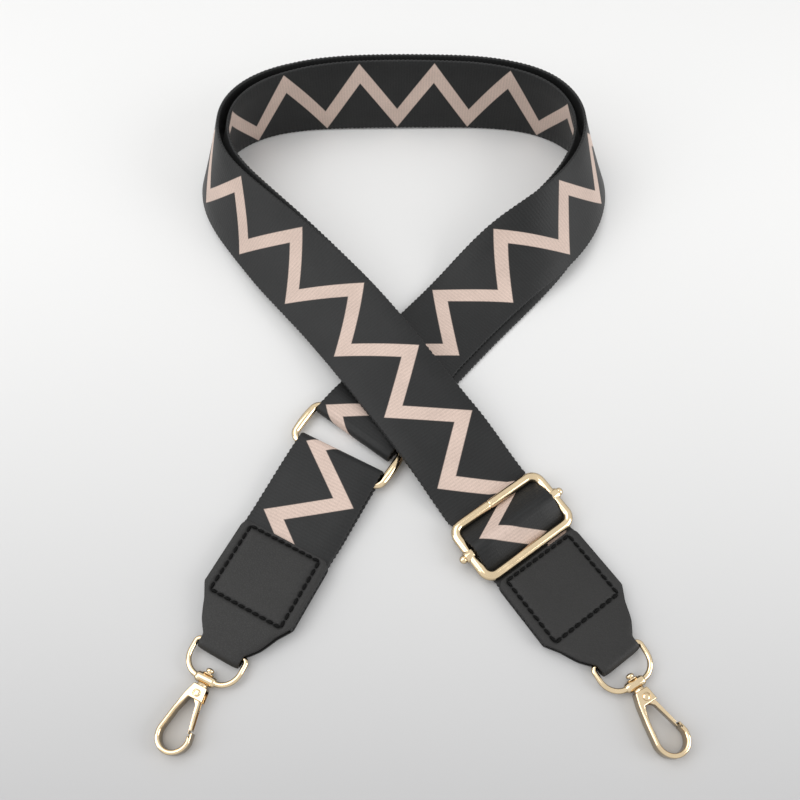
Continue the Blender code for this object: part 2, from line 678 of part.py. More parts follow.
def make_wire_loop(side, pivot, metal):
    """Wire loop of a hook: bar in the leather's fold, arms, and a pierced lug at its foot."""
    foot = BAR_TO_BLOCK - LOOP_TO_BLOCK - LUG_WIRE / 2
    half = (LOOP_INNER_WIDTH + LOOP_WIRE) / 2
    top, bottom = LOOP_TOP_CORNER, LOOP_FOOT_CORNER
    quarter = math.pi / 2
    flare_end = half - bottom
    points = [(foot, 0), (foot, LUG_BOSS_WIDTH / 2), (foot, flare_end)]
    points += arc((foot - bottom, flare_end), bottom, 0, quarter, 6)[1:]
    points += arc((top, half - top), top, quarter, 2 * quarter, 3)
    points += [(0, 0)]
    mirrored = [(x, -y) for x, y in reversed(points[1:-1])]
    outline = points + mirrored
    thick = LUG_WIRE / LOOP_WIRE
    factors = [thick if abs(y) <= LUG_BOSS_WIDTH / 2 and x > half / 2 else 1 for x, y in outline]
    loop = as_mesh(tube(f"{side}_wire_loop", [(x, y, 0) for x, y in outline], LOOP_WIRE, pivot,
                        metal, cyclic=True, factors=factors))
    boss = cylinder(f"{side}_lug_boss", LUG_BOSS_WIDTH, LUG_WIRE, pivot, metal, (foot, 0, 0),
                    (1, 0, 0), cutters)
    bore = cylinder(f"{side}_lug_bore", POST_WIDTH + 2 * TOUCH_GAP, LUG_WIRE + 2 * OVERRUN, pivot,
                    metal, (foot, 0, 0), (1, 0, 0), cutters)
    cut(loop, boss, "UNION")
    cut(loop, bore)
    return smooth(loop)


def make_hook_body(side, hook, metal):
    """Hook body: block, post, arm, bowl and nose in one casting, slotted for its gate."""
    bowl = (BOWL_AT, 0)
    inner_radius = BOWL_RADIUS - ARM_WALL
    start_angle = -math.pi / 2 - math.atan2(BOWL_AT - ARM_PLACES[-1][0], 8 * BOWL_RADIUS)
    top_half = BLOCK_TOP_WIDTH / 2
    lip_from = NOSE_AT + NOSE_SEAT
    seat_y = math.sqrt(inner_radius ** 2 - (lip_from - BOWL_AT) ** 2)
    outer_tip_y = BOWL_RADIUS - (BOWL_AT - NOSE_AT) / 4
    seat_angle = math.atan2(seat_y, lip_from - BOWL_AT)
    inner = arc(bowl, inner_radius, start_angle, seat_angle, 20)
    outer = arc(bowl, BOWL_RADIUS, start_angle, math.pi / 2, 20)
    outline = [(0, top_half - BLOCK_EDGE), (BLOCK_EDGE, top_half),
               (BLOCK_LENGTH, BLOCK_FOOT_SIDE), (BLOCK_LENGTH, -BLOCK_INNER_SIDE)]
    outline += [(ARM_PLACES[-1][0], -(ARM_PLACES[-1][1] - ARM_WALL))]
    outline += inner
    outline += [(lip_from, outer_tip_y - NOSE_LIP), (NOSE_AT, outer_tip_y - NOSE_LIP),
                (NOSE_AT, outer_tip_y)]
    outline += list(reversed(outer))
    outline += [(x, -y) for x, y in reversed(ARM_PLACES)]
    outline += [(BLOCK_EDGE, -top_half), (0, -(top_half - BLOCK_EDGE))]
    body = plate(f"{side}_hook_body", outline, HOOK_THICK, hook, metal)
    post_end = LOOP_TO_BLOCK + LUG_WIRE + WASHER_THICK + 2 * TOUCH_GAP + CAP_LENGTH - CAP_TOP
    post_length = post_end + SLOT_TOP / 2
    post = cylinder(f"{side}_post", POST_WIDTH, post_length, hook, metal,
                    (SLOT_TOP / 2 - post_length / 2, 0, 0), (1, 0, 0), cutters)
    cut(body, post, "UNION")
    slot_height = HOOK_THICK - 2 * SLOT_WALL
    slot = [(SLOT_TOP, -SLOT_SIDE), (BLOCK_LENGTH + OVERRUN, -SLOT_SIDE),
            (BLOCK_LENGTH + OVERRUN, BLOCK_FOOT_SIDE + OVERRUN),
            (SLOT_TOP, BLOCK_FOOT_SIDE + OVERRUN)]
    cut(body, plate(f"{side}_slot", slot, slot_height, hook, metal, cutters))
    bore_width = RIVET_WIDTH + 2 * TOUCH_GAP
    rivet_place = (RIVET_AT, RIVET_SIDE, 0)
    cut(body, cylinder(f"{side}_rivet_bore", bore_width, HOOK_THICK + 2 * OVERRUN, hook, metal,
                       rivet_place, (0, 0, 1), cutters))
    recess = RIVET_HEAD_THICK + TOUCH_GAP / 3
    for sign, word in ((1, "top"), (-1, "bottom")):
        place_z = sign * (HOOK_THICK / 2 + OVERRUN / 2 - recess / 2)
        cut(body, cylinder(f"{side}_recess_{word}", RIVET_HEAD_WIDTH + 2 * TOUCH_GAP,
                           recess + OVERRUN, hook, metal, (RIVET_AT, RIVET_SIDE, place_z),
                           (0, 0, 1), cutters))
    return smooth(body)


def make_gate(side, gate, metal):
    """Channel gate, folded from sheet round its rivet, with its open side outwards."""
    eye = (0, 0)
    outer = [(x - RIVET_AT, y - RIVET_SIDE) for x, y in GATE_OUTER_PLACES]
    inner = [(x - RIVET_AT, y - RIVET_SIDE) for x, y in GATE_INNER_PLACES]
    along = math.atan2(inner[1][1] - inner[0][1], inner[1][0] - inner[0][0])
    step = GATE_SHEET
    tip = (inner[1][0] - step * math.sin(along) / 2, inner[1][1] + step * math.cos(along) / 2)
    outline = arc(eye, GATE_EYE, math.radians(110), math.radians(300), ARC_STEPS)
    outline += [inner[0], inner[1], tip,
                (outer[1][0], tip[1] - (tip[0] - outer[1][0]) * math.tan(along)), outer[1], outer[0]]
    leaf = plate(f"{side}_gate", outline, GATE_WIDTH, gate, metal)
    web_from = GATE_WEB_FROM - RIVET_AT
    rise = math.tan(along)
    floor_start = inner[0][1] + (web_from - inner[0][0]) * rise + GATE_SHEET
    pocket_end = outer[1][0] - GATE_SHEET
    floor_end = inner[0][1] + (pocket_end - inner[0][0]) * rise + GATE_SHEET
    reach = 2 * GATE_EYE
    pocket = [(-reach, -reach), (web_from, -reach), (web_from, floor_start),
              (pocket_end, floor_end), (pocket_end, 2 * reach), (-reach, 2 * reach)]
    cut(leaf, plate(f"{side}_channel", pocket, GATE_WIDTH - 2 * GATE_SHEET, gate, metal, cutters))
    cut(leaf, cylinder(f"{side}_gate_bore", RIVET_WIDTH + 2 * TOUCH_GAP,
                       GATE_WIDTH + 2 * OVERRUN, gate, metal, (0, 0, 0), (0, 0, 1), cutters))
    smooth(leaf)
    return along


def make_spring(side, hook, along, metal):
    """Torsion spring round the rivet: a leg along the gate, the coil, and a leg in the block."""
    radius = RIVET_WIDTH / 2 + TOUCH_GAP + SPRING_WIRE / 2 + TOUCH_GAP / 2
    start = along + math.pi / 2
    end = 3 * math.pi / 2 + 2 * math.pi
    turns = np.linspace(start, end, 2 * ARC_STEPS)
    low = -SPRING_PITCH * (end - start) / (4 * math.pi)
    coil = [(RIVET_AT + radius * math.cos(a), RIVET_SIDE + radius * math.sin(a),
             low + SPRING_PITCH * (a - start) / (2 * math.pi)) for a in turns]
    leg = (coil[0][0] + SPRING_LEG * math.cos(along), coil[0][1] + SPRING_LEG * math.sin(along), low)
    tail = (coil[-1][0] + SPRING_TAIL, coil[-1][1], coil[-1][2])
    tube(f"{side}_gate_spring", [leg] + coil + [tail], SPRING_WIRE, hook, metal, resolution=1)


def make_hook(side, leg, metal, steel):
    """A hook on its leg: loop, washer, cap, body, gate, rivet and spring."""
    heading = math.pi + HOOK_TURNS[side]
    pivot = empty(f"{side}_loop_axis", leg, (LOOP_BAR_AT, 0, LOOP_AXIS_Z), heading)
    make_wire_loop(side, pivot, metal)
    hook = empty(f"{side}_swivel_axis", pivot, (BAR_TO_BLOCK, 0, 0))
    make_hook_body(side, hook, metal)
    washer_at = -(LOOP_TO_BLOCK + LUG_WIRE + TOUCH_GAP + WASHER_THICK / 2)
    inner, outer = POST_WIDTH / 2 + TOUCH_GAP, WASHER_WIDTH / 2
    half, edge = WASHER_THICK / 2, WASHER_THICK / 4
    turned(f"{side}_swivel_washer",
           [(inner, half), (outer - edge, half), (outer, half - edge), (outer, edge - half),
            (outer - edge, -half), (inner, -half)],
           hook, metal, (washer_at, 0, 0), (-1, 0, 0))
    cap_at = washer_at - WASHER_THICK / 2 - TOUCH_GAP
    radius, round_edge = CAP_WIDTH / 2, CAP_WIDTH / 8
    bore_end = CAP_LENGTH - CAP_TOP + TOUCH_GAP / 2
    turned(f"{side}_swivel_cap",
           [(0, CAP_LENGTH), (radius - round_edge, CAP_LENGTH), (radius, CAP_LENGTH - round_edge),
            (radius, 0), (inner, 0), (inner, bore_end), (0, bore_end)],
           hook, metal, (cap_at, 0, 0), (-1, 0, 0))
    gate = empty(f"{side}_gate_axis", hook, (RIVET_AT, RIVET_SIDE, 0))
    along = make_gate(side, gate, metal)
    head, shank, half = RIVET_HEAD_WIDTH / 2, RIVET_WIDTH / 2, HOOK_THICK / 2
    under = half - RIVET_HEAD_THICK
    turned(f"{side}_gate_rivet",
           [(0, half), (head - TOUCH_GAP, half), (head, half - TOUCH_GAP / 2), (head, under),
            (shank, under), (shank, -under), (head, -under), (head, TOUCH_GAP / 2 - half),
            (head - TOUCH_GAP, -half), (0, -half)],
           hook, steel, (RIVET_AT, RIVET_SIDE, 0), (0, 0, 1))
    make_spring(side, hook, along, steel)


clear_scene()
parts = new_collection(COLLECTION)
cutters = new_collection("cutters")
webbing = material("printed_webbing", (0.024, 0.025, 0.026), 0.75)
leather = material("black_leather", (0.045, 0.044, 0.043), 0.55)
thread = material("black_thread", (0.012, 0.012, 0.012), 0.7)
gold = material("pale_gold", (0.82, 0.62, 0.36), 0.18, 1.0)
steel = material("spring_steel", (0.72, 0.60, 0.42), 0.25, 1.0)

track = route()
right_leg = empty("right_leg", None, (*RIGHT_LEG_AT, 0), RIGHT_LEG_HEADING)
slider = empty("slider_axis", right_leg, (CENTRE_BAR_U, 0, CENTRE_BAR_Z))
make_main_webbing(track, webbing)
make_front_stretches(track, webbing)
make_slider_webbing(right_leg, slider, webbing)
make_slider(slider, gold)
make_tab("right", right_leg, 1, leather, thread)
make_hook("right", right_leg, gold, steel)

arrival = float(np.interp(RING_AT, track["u"], track["heading"]))
ring_heading = arrival + math.pi + RING_TURN
row = band_rows(track, [RING_AT], [0.0])[0]
bar_side = np.array((math.sin(ring_heading), -math.cos(ring_heading), 0)) * RING_SIDE
ring_place = row[1] + bar_side
ring = empty("ring_axis", None, (ring_place[0], ring_place[1], RING_AXIS_Z), ring_heading)
make_ring(ring, gold)
left_pivot = empty("left_leg_axis", ring, (-RING_SPACING, 0, 0))
left_start = (-LEFT_BAR_DISTANCE * math.cos(LEFT_LEG_TURN),
              -LEFT_BAR_DISTANCE * math.sin(LEFT_LEG_TURN) - LEFT_LEG_SIDE, -RING_AXIS_Z)
left_leg = empty("left_leg", left_pivot, left_start, LEFT_LEG_TURN)
make_short_webbing(left_leg, webbing)
make_tab("left", left_leg, 2, leather, thread)
make_hook("left", left_leg, gold, steel)
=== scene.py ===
"""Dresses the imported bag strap: webbing, leather tabs, stitches, pale gold metal and a stage.

Every shape is a surface of two parameters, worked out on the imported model's own places.
Lengths are in metres. The file is laid out as an add-on and runs as a script.
"""
import json
import math
from functools import partial

import bmesh
import bpy
import numpy as np
from bpy.props import FloatProperty, FloatVectorProperty, PointerProperty
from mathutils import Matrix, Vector


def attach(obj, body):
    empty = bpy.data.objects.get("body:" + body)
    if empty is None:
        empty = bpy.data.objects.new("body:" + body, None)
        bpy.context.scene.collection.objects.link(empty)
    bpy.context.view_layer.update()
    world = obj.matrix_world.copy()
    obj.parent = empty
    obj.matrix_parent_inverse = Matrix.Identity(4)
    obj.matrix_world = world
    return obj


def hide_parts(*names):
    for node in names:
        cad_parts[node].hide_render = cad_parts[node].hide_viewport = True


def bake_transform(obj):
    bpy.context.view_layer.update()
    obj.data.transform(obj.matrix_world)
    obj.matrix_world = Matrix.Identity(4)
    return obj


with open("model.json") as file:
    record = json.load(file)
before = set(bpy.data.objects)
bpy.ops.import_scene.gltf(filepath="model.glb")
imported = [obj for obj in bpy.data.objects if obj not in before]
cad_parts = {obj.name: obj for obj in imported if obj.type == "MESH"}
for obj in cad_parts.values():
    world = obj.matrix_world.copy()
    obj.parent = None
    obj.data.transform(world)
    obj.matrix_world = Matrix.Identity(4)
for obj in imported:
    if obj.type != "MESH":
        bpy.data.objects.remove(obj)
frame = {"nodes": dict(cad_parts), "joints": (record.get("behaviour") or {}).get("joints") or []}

bl_info = {
    "name": "Bag strap dressing",
    "version": (1, 0, 0),
    "blender": (4, 5, 0),
    "location": "3D View > Sidebar > Strap",
    "description": "Dresses the packed bag strap with webbing, leather, stitches and metal",
    "category": "Object",
}

UP = np.array((0.0, 0.0, 1.0))
GAP = 0.0003  # room between pieces that all but touch
HALF_TURN = np.linspace(math.pi / 2, -math.pi / 2, 14)[1:-1]  # from above round to below
QUARTER_TURN = np.linspace(0, math.pi / 2, 7)
CAST_SHARP = math.radians(32)  # cast and folded metal is shaded smooth up to this angle
JOINTS = {joint["name"]: joint for joint in frame["joints"]}
SIDES = ("left", "right")

# Route of the doubled webbing, by distance from the right tab's narrow end
LOOP_FROM = 0.1164  # first station, where the bend and the lean begin
STATION = 0.025  # from one station to the next
# Share of the sharpest bend, and of a lean to upright, at each station
BEND_SHARES = (0, 0, 0, 0, 0.066, 0, 0.535, 1, 0.94, 0.48, 0.044, 0, 0, 0.165, 0.702, 0.979,
               0.706, 0.384, 0.239, 0.115, 0)
LEAN_SHARES = (0, 0.05, 0.14, 0.29, 0.42, 0.60, 0.71, 0.77, 0.88, 0.98, 1.06, 1.08, 1.07, 1.04,
               0.95, 0.82, 0.71, 0.61, 0.46, 0.17, 0)
LOOP_TURN = math.radians(258.7)  # all the way round the loop
END_TURN_BACK = math.radians(5.8)  # the other way, before the ring
TURN_BACK_FROM = 0.6014
TURN_BACK_LENGTH = 0.09
CLIMB_TO = 0.110  # the band climbs from the slider up to here
SINK_FROM = 0.145  # and sinks to the floor again from here
SINK_TO = 0.225
OPENING_FROM = 0.170  # the layers open out from here
OPENING_LENGTH = 0.050
CLOSING_FROM = 0.570  # and close again from here
SLIP = 0.0034  # of the outer layer sideways: it grows, holds and falls at these places
SLIP_PLACES = (0.50, 0.625, 0.640, 0.688)
FLOOR_GAP = 0.0002  # under the webbing
FRONT_STRETCH = 0.034  # length of webbing that gives way as the slider moves, though nothing here makes it give way

# Ring and left leg
RING_AT = 0.6925  # along the route
RING_WIRE = 0.0028
RING_CORNER = 0.0033
RING_SPACING = 0.018  # between the middles of its long bars
RING_DROP = 0.0005  # its lower bar lies this much nearer the left tab than the solid has it
RING_SWELL = 0.0005  # of its short sides, at their middles
RING_TURN = math.radians(4.6)  # skew of the ring against the webbing
FOLD_PLAY = 0.0006  # room between a fold and its bar
FOLD_CLIMB = 0.0165  # length over which the outer layer climbs over the ring
LEFT_LEG_TURN = math.radians(5.0)  # against the ring
LEFT_BAR_DISTANCE = 0.0864  # from the left tab's narrow end to the ring's lower bar
SHORT_APEX_U = 0.0552  # a corner of the short webbing's zigzag, and its repeat
SHORT_REPEAT = 0.0325

# Tabs and seams
TAB_LENGTH = 0.0484
WEB_END_AT = 0.0205  # where the webbing ends inside a tab
LOOP_BAR_AT = 0.0037  # middle of the hook's wire, from a tab's narrow end
SEAM_START = 0.0193
SEAM_LENGTH = 0.0277
SEAM_WIDTH = 0.0304
SEAM_CORNER = 0.0007
TAB_CORNER = 0.003
TAB_FALL = (0.0075, 0.018)  # where the upper ply sinks from the loop to the webbing
CUT_EDGE = 0.00045  # rounding of the leather's cut rims
TAB_STEPS = 140  # rows of the mesh along each ply of a tab
FACE_STEPS = 101  # points across each face of a tab
TAB_BODY = {"left": "left_leg", "right": "strap"}

# Slider
SLIDER_WIRE = 0.003
BAR_STEP = 0.0117  # from bar to bar, along the leg
CENTRE_BAR_WIRE = 0.0024
LOWER_BAR_U = TAB_LENGTH + 0.0025
CENTRE_BAR_U = LOWER_BAR_U + BAR_STEP
UPPER_BAR_U = CENTRE_BAR_U + BAR_STEP
SLIDER_END_U = UPPER_BAR_U + 0.0037
END_FOLD_HALF = 0.0185  # half its width, drawn in between the barrels
FOLDED_LENGTH = 0.0064  # of the folded end past the centre bar
BAR_PLAY = 0.0005  # room between the frame's wire and the webbing
WEB_DIP = 0.0006  # of the webbing under the lower bar
THICKER = 0.0004  # the photo's frame is thicker than the solid's, by twice this
SLIDER_CORNER = 0.0040
# The zigzag's phase at places along the laced webbing
LACED_PHASES = ((WEB_END_AT, -2.40), (LOWER_BAR_U, -1.44), (0.0645, -1.0),
                (SLIDER_END_U, -0.359))

# Hooks
HOOK_THICK = 0.0054
BAR_TO_BLOCK = 0.0141  # from the loop's bar to the hook's block
RIVET_AT = 0.0028  # along the hook from its block's end, and to the side
RIVET_SIDE = 0.00025
CHEEK = 0.0008  # what the gate's slot leaves of the block on each side
LUG_FROM = 0.0012  # from the hook's block to the loop's lug
LUG_THICK = 0.0026
WASHER_THICK = 0.0006
WASHER_AT = LUG_FROM + LUG_THICK + GAP + WASHER_THICK / 2
CAP_AT = WASHER_AT + WASHER_THICK / 2 + GAP
CAP_BORE = 0.0011  # how deep the post sits in the cap

# Stage
FLOOR_HALF = 3.0
FLOOR_Z = -0.0001


def smoothstep(places, start, end):
    """A rise from 0 at start to 1 at end: 3 t squared minus 2 t cubed."""
    share = np.clip((np.asarray(places, float) - start) / (end - start), 0, 1)
    return share * share * (3 - 2 * share)


def round_wire(wire, room=GAP):
    """Distance of the webbing's middle from that of a wire that it goes round."""
    return wire / 2 + room + bpy.context.scene.strap_webbing.thickness / 2


def arc(centre, radius, angles):
    """Points of an arc: centre + radius (cos angle, sin angle)."""
    return np.asarray(centre) + radius * np.stack([np.cos(angles), np.sin(angles)], 1)


def folded(run, out_z, back_z, centre, radius, turn):
    """Path of (u, z) places: a run out, an arc about a centre, and the same run back."""
    return np.concatenate([np.stack([run, out_z], 1), arc(centre, radius, turn),
                           np.stack([run[::-1], back_z], 1)])


def tab_web_height():
    """Height of the middle of the webbing that lies between the plies of a tab."""
    scene = bpy.context.scene
    return scene.strap_leather.thickness + GAP + scene.strap_webbing.thickness / 2


def length_along(points):
    """Distance of each point of a line from its first one, along the line."""
    return np.concatenate(([0], np.cumsum(np.linalg.norm(np.diff(points, axis=0), axis=1))))


def unit(vectors):
    """Vectors of the same directions, each one long."""
    return vectors / np.linalg.norm(vectors, axis=-1, keepdims=True)


def in_plan(x, y):
    """Places or directions in plan, without height."""
    return np.stack([x, y, np.zeros_like(x)], -1)


def full_turn(steps):
    """Angles once round, without the last one, which is the first again."""
    return np.linspace(0, 2 * math.pi, steps + 1)[:-1]


class StrapWebbing(bpy.types.PropertyGroup):
    """Sizes and colours of the printed webbing."""
    width: FloatProperty(name="Width", description="Width of the webbing", default=0.038,
                         unit="LENGTH")
    thickness: FloatProperty(name="Thickness", description="Thickness of one layer",
                             default=0.0014, unit="LENGTH")
    layer_gap: FloatProperty(name="Layer gap", description="Room between the layers of the loop",
                             default=0.0034, unit="LENGTH")
    row_step: FloatProperty(name="Row step", description="Distance between rows of the mesh",
                            default=0.00045, unit="LENGTH")
    scallop: FloatProperty(name="Scallop", description="Depth of the woven edge's scallops",
                           default=0.00036, unit="LENGTH")
    scallop_pitch: FloatProperty(name="Scallop pitch", description="Length of one edge scallop",
                                 default=0.0021, unit="LENGTH")
    rib_pitch: FloatProperty(name="Rib pitch", description="Distance between the weave's ribs",
                             default=0.00135, unit="LENGTH")
    repeat: FloatProperty(name="Zigzag repeat", description="Length of one zigzag",
                          default=0.0362, unit="LENGTH")
    stroke_share: FloatProperty(name="Stroke share", description="Share of the zigzag's height "
                                "that its stroke takes", default=0.292, subtype="FACTOR")
    ground: FloatVectorProperty(name="Ground", description="Colour of the dark ground", size=3,
                                default=(0.0107, 0.0111, 0.0113), subtype="COLOR")
    zigzag: FloatVectorProperty(name="Zigzag", description="Colour of the zigzag", size=3,
                                default=(0.580, 0.455, 0.392), subtype="COLOR")


class StrapLeather(bpy.types.PropertyGroup):
    """Sizes and colours of the leather tabs and their seams."""
    thickness: FloatProperty(name="Thickness", description="Thickness of the leather",
                             default=0.0013, unit="LENGTH")
    grain: FloatProperty(name="Grain", description="Width of one grain of the leather",
                         default=0.0008, unit="LENGTH")
    colour: FloatVectorProperty(name="Colour", description="Colour of the leather", size=3,
                                default=(0.0150, 0.0146, 0.0140), subtype="COLOR")
    thread: FloatVectorProperty(name="Thread", description="Colour of the thread", size=3,
                                default=(0.0025, 0.0025, 0.0025), subtype="COLOR")
    stitch: FloatProperty(name="Stitch", description="Length of one stitch and its gap",
                          default=0.0032, unit="LENGTH")
    thread_width: FloatProperty(name="Thread width", description="Width of the thread",
                                default=0.0011, unit="LENGTH")
    groove: FloatProperty(name="Groove", description="Depth that the seam pulls the leather in",
                          default=0.00070, unit="LENGTH")


class StrapMetal(bpy.types.PropertyGroup):
    """Colour and finish of the pale gold hardware."""
    colour: FloatVectorProperty(name="Colour", description="Colour of the plating", size=3,
                                default=(0.87, 0.69, 0.445), subtype="COLOR")
    roughness: FloatProperty(name="Roughness", description="Roughness of the polish",
                             default=0.11, subtype="FACTOR")
    edge: FloatProperty(name="Edge", description="Rounding of cast edges", default=0.0008,
                        unit="LENGTH")


class StrapStage(bpy.types.PropertyGroup):
    """Floor, light and backdrop colours."""
    # Floor colours with painted light and shade: lighter behind the strap, painted darker in front
    # of it
    far: FloatVectorProperty(name="Far floor", description="Colour behind the strap", size=3,
                             default=(0.768, 0.768, 0.763), subtype="COLOR")
    near: FloatVectorProperty(name="Near floor", description="Colour in front of the strap",
                              size=3, default=(0.417, 0.417, 0.421), subtype="COLOR")
    sky: FloatProperty(name="Sky", description="Strength of the light all round", default=0.8)
    lamp: FloatProperty(name="Lamp", description="Power that the lamps share", default=7.0,
                        unit="POWER")


class Place:
    """Own axes of a leg, the ring or a hook: an origin, X and Y in plan, Z up."""

    def __init__(self, origin, heading):
        self.origin = np.asarray(origin, float)
        self.heading = heading
        self.x = np.array((math.cos(heading), math.sin(heading), 0.0))
        self.y = np.array((-math.sin(heading), math.cos(heading), 0.0))

    def world(self, points):
        """Own points carried to the strap's frame: origin + X x + Y y + Z z."""
        points = np.asarray(points, float)
        return (self.origin + points[..., :1] * self.x + points[..., 1:2] * self.y
                + points[..., 2:3] * UP)


def heading_of(axis, turn=0.0):
    """Heading of an axis in plan, turned by an angle."""
    return math.atan2(axis[1], axis[0]) + turn


def places():
    """Places of the legs, slider, ring and hooks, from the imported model's joints."""
    slider = JOINTS["slider_travel"]
    heading = heading_of(slider["axis"])
    found = {"slider": Place(slider["pos_m"], heading)}
    start = found["slider"].world((-CENTRE_BAR_U, 0, -slider["pos_m"][2]))
    found["right_leg"] = Place(start, heading)
    ring = JOINTS["ring_pivot"]
    found["ring"] = Place(ring["pos_m"], heading_of(ring["axis"], -math.pi / 2))
    for side in SIDES:
        swing = JOINTS[f"{side}_loop_swing"]
        turned_to = heading_of(swing["axis"], -math.pi / 2)
        found[f"{side}_loop"] = Place(swing["pos_m"], turned_to)
        found[f"{side}_hook"] = Place(JOINTS[f"{side}_swivel"]["pos_m"], turned_to)
        found[f"{side}_gate"] = Place(JOINTS[f"{side}_gate_hinge"]["pos_m"], turned_to)
    left = Place(found["left_loop"].origin, found["ring"].heading + LEFT_LEG_TURN)
    start = left.world((-LOOP_BAR_AT, 0, -found["left_loop"].origin[2]))
    found["left_leg"] = Place(start, left.heading)
    return found


PLACES = places()


class Route:
    """Plan of the doubled webbing: distances, headings, leans and the lower edge's points."""

    def __init__(self, width):
        step = 0.001
        start = PLACES["right_leg"]
        self.u = np.arange(0, RING_AT + width, step)
        stations = LOOP_FROM + STATION * np.arange(len(BEND_SHARES))
        bend = np.interp(self.u, stations, BEND_SHARES, left=0, right=0)
        bend *= LOOP_TURN / (bend.sum() * step)
        back = (self.u >= TURN_BACK_FROM) & (self.u <= TURN_BACK_FROM + TURN_BACK_LENGTH)
        bend = bend - back * END_TURN_BACK / TURN_BACK_LENGTH
        turned_by = np.concatenate(([0], np.cumsum(bend)[:-1])) * step
        self.heading = start.heading - turned_by
        window = int(round(STATION / step))
        lean = np.interp(self.u, stations, LEAN_SHARES, left=0, right=0)
        self.lean = np.convolve(lean, np.ones(window) / window, mode="same") * math.pi / 2
        ahead = np.stack([np.cos(self.heading), np.sin(self.heading)], 1)
        middle = (ahead[1:] + ahead[:-1]) / 2 * step
        first = (start.origin + start.y * width / 2)[:2]
        self.edge = first + np.concatenate(([[0, 0]], np.cumsum(middle, 0)))

    def at(self, distances):
        """Edge point, direction ahead, direction across and normal at distances."""
        heading = np.interp(distances, self.u, self.heading)
        lean = np.interp(distances, self.u, self.lean)
        edge = in_plan(*(np.interp(distances, self.u, self.edge[:, i]) for i in (0, 1)))
        ahead = in_plan(np.cos(heading), np.sin(heading))
        inward = in_plan(np.sin(heading), -np.cos(heading))
        cos, sin = np.cos(lean)[:, None], np.sin(lean)[:, None]
        across, normal = cos * inward + sin * UP, cos * UP - sin * inward
        return edge, ahead, across, normal, lean


def new_mesh(name, points, faces, smooth_angle=None):
    """Object for arrays of points and faces, shaded smooth up to an angle."""
    mesh = bpy.data.meshes.new(name)
    mesh.from_pydata(np.asarray(points, float).reshape(-1, 3).tolist(), [], faces)
    mesh.validate()
    obj = bpy.data.objects.new(name, mesh)
    bpy.context.scene.collection.objects.link(obj)
    mesh.shade_smooth()
    if smooth_angle is not None:
        mesh.set_sharp_from_angle(angle=smooth_angle)
    return obj


def grid_faces(rows, around, closed):
    """Faces of a tube of rows of points, each ordered to face the same side."""
    r, c = np.meshgrid(np.arange(rows if closed else rows - 1), np.arange(around), indexing="ij")
    r2, c2 = (r + 1) % rows, (c + 1) % around
    quads = np.stack([r * around + c, r * around + c2, r2 * around + c2, r2 * around + c], -1)
    return quads.reshape(-1, 4)


def swept(name, rings, closed=False, smooth_angle=None):
    """Closed surface through rings of points, (rows, around, 3), capped where it is open.

    A point is rings[row, around]: the section at that row of the path.
    """
    rows, around = rings.shape[:2]
    faces = grid_faces(rows, around, closed).tolist()
    if not closed:
        faces.append(list(range(around - 1, -1, -1)))
        faces.append(list(range((rows - 1) * around, rows * around)))
    obj = new_mesh(name, rings, faces, smooth_angle)
    face_outwards(obj)
    return obj


def face_outwards(obj):
    """Turns a closed mesh's faces outwards."""
    bm = bmesh.new()
    bm.from_mesh(obj.data)
    bmesh.ops.recalc_face_normals(bm, faces=bm.faces)
    bm.to_mesh(obj.data)
    bm.free()


def joined(name, objects):
    """One object of the meshes of several, in the order given."""
    bm = bmesh.new()
    for obj in objects:
        bm.from_mesh(obj.data)
        mesh = obj.data
        bpy.data.objects.remove(obj, do_unlink=True)
        bpy.data.meshes.remove(mesh)
    mesh = bpy.data.meshes.new(name)
    bm.to_mesh(mesh)
    bm.free()
    obj = bpy.data.objects.new(name, mesh)
    bpy.context.scene.collection.objects.link(obj)
    return obj


def per_point(obj, name, values):
    """Gives a mesh one number a point."""
    layer = obj.data.attributes.new(name, "FLOAT", "POINT")
    layer.data.foreach_set("value", np.asarray(values, np.float32).ravel())


def per_corner(obj, name, pairs):
    """Gives a mesh a UV map from one pair of numbers a point."""
    layer = obj.data.uv_layers.new(name=name)
    corners = np.zeros(len(obj.data.loops), np.int64)
    obj.data.loops.foreach_get("vertex_index", corners)
    pairs = np.asarray(pairs, np.float32).reshape(-1, 2)
    layer.data.foreach_set("uv", pairs[corners].ravel())


def put(obj, body, *nodes, slot="pale_gold"):
    """Lets a piece take the place of its CAD nodes on a body, with its slot's material."""
    obj.data.materials.clear()
    obj.data.materials.append(material(SURFACE_OF_SLOT[slot]))
    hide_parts(*nodes)
    if body:
        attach(obj, body)


def carved(obj, cutters):
    """Cuts a piece with closed cutters, which are removed, and bakes the result into its mesh."""
    for cutter in cutters:
        modifier = obj.modifiers.new("cut", "BOOLEAN")
        modifier.operation = "DIFFERENCE"
        modifier.object = cutter
        modifier.solver = "EXACT"
    bpy.context.view_layer.update()
    graph = bpy.context.evaluated_depsgraph_get()
    mesh = bpy.data.meshes.new_from_object(obj.evaluated_get(graph))
    obj.modifiers.clear()
    obj.data = mesh
    for cutter in cutters:
        bpy.data.objects.remove(cutter, do_unlink=True)
    mesh.shade_smooth()
    mesh.set_sharp_from_angle(angle=CAST_SHARP)


# Nodes of the materials

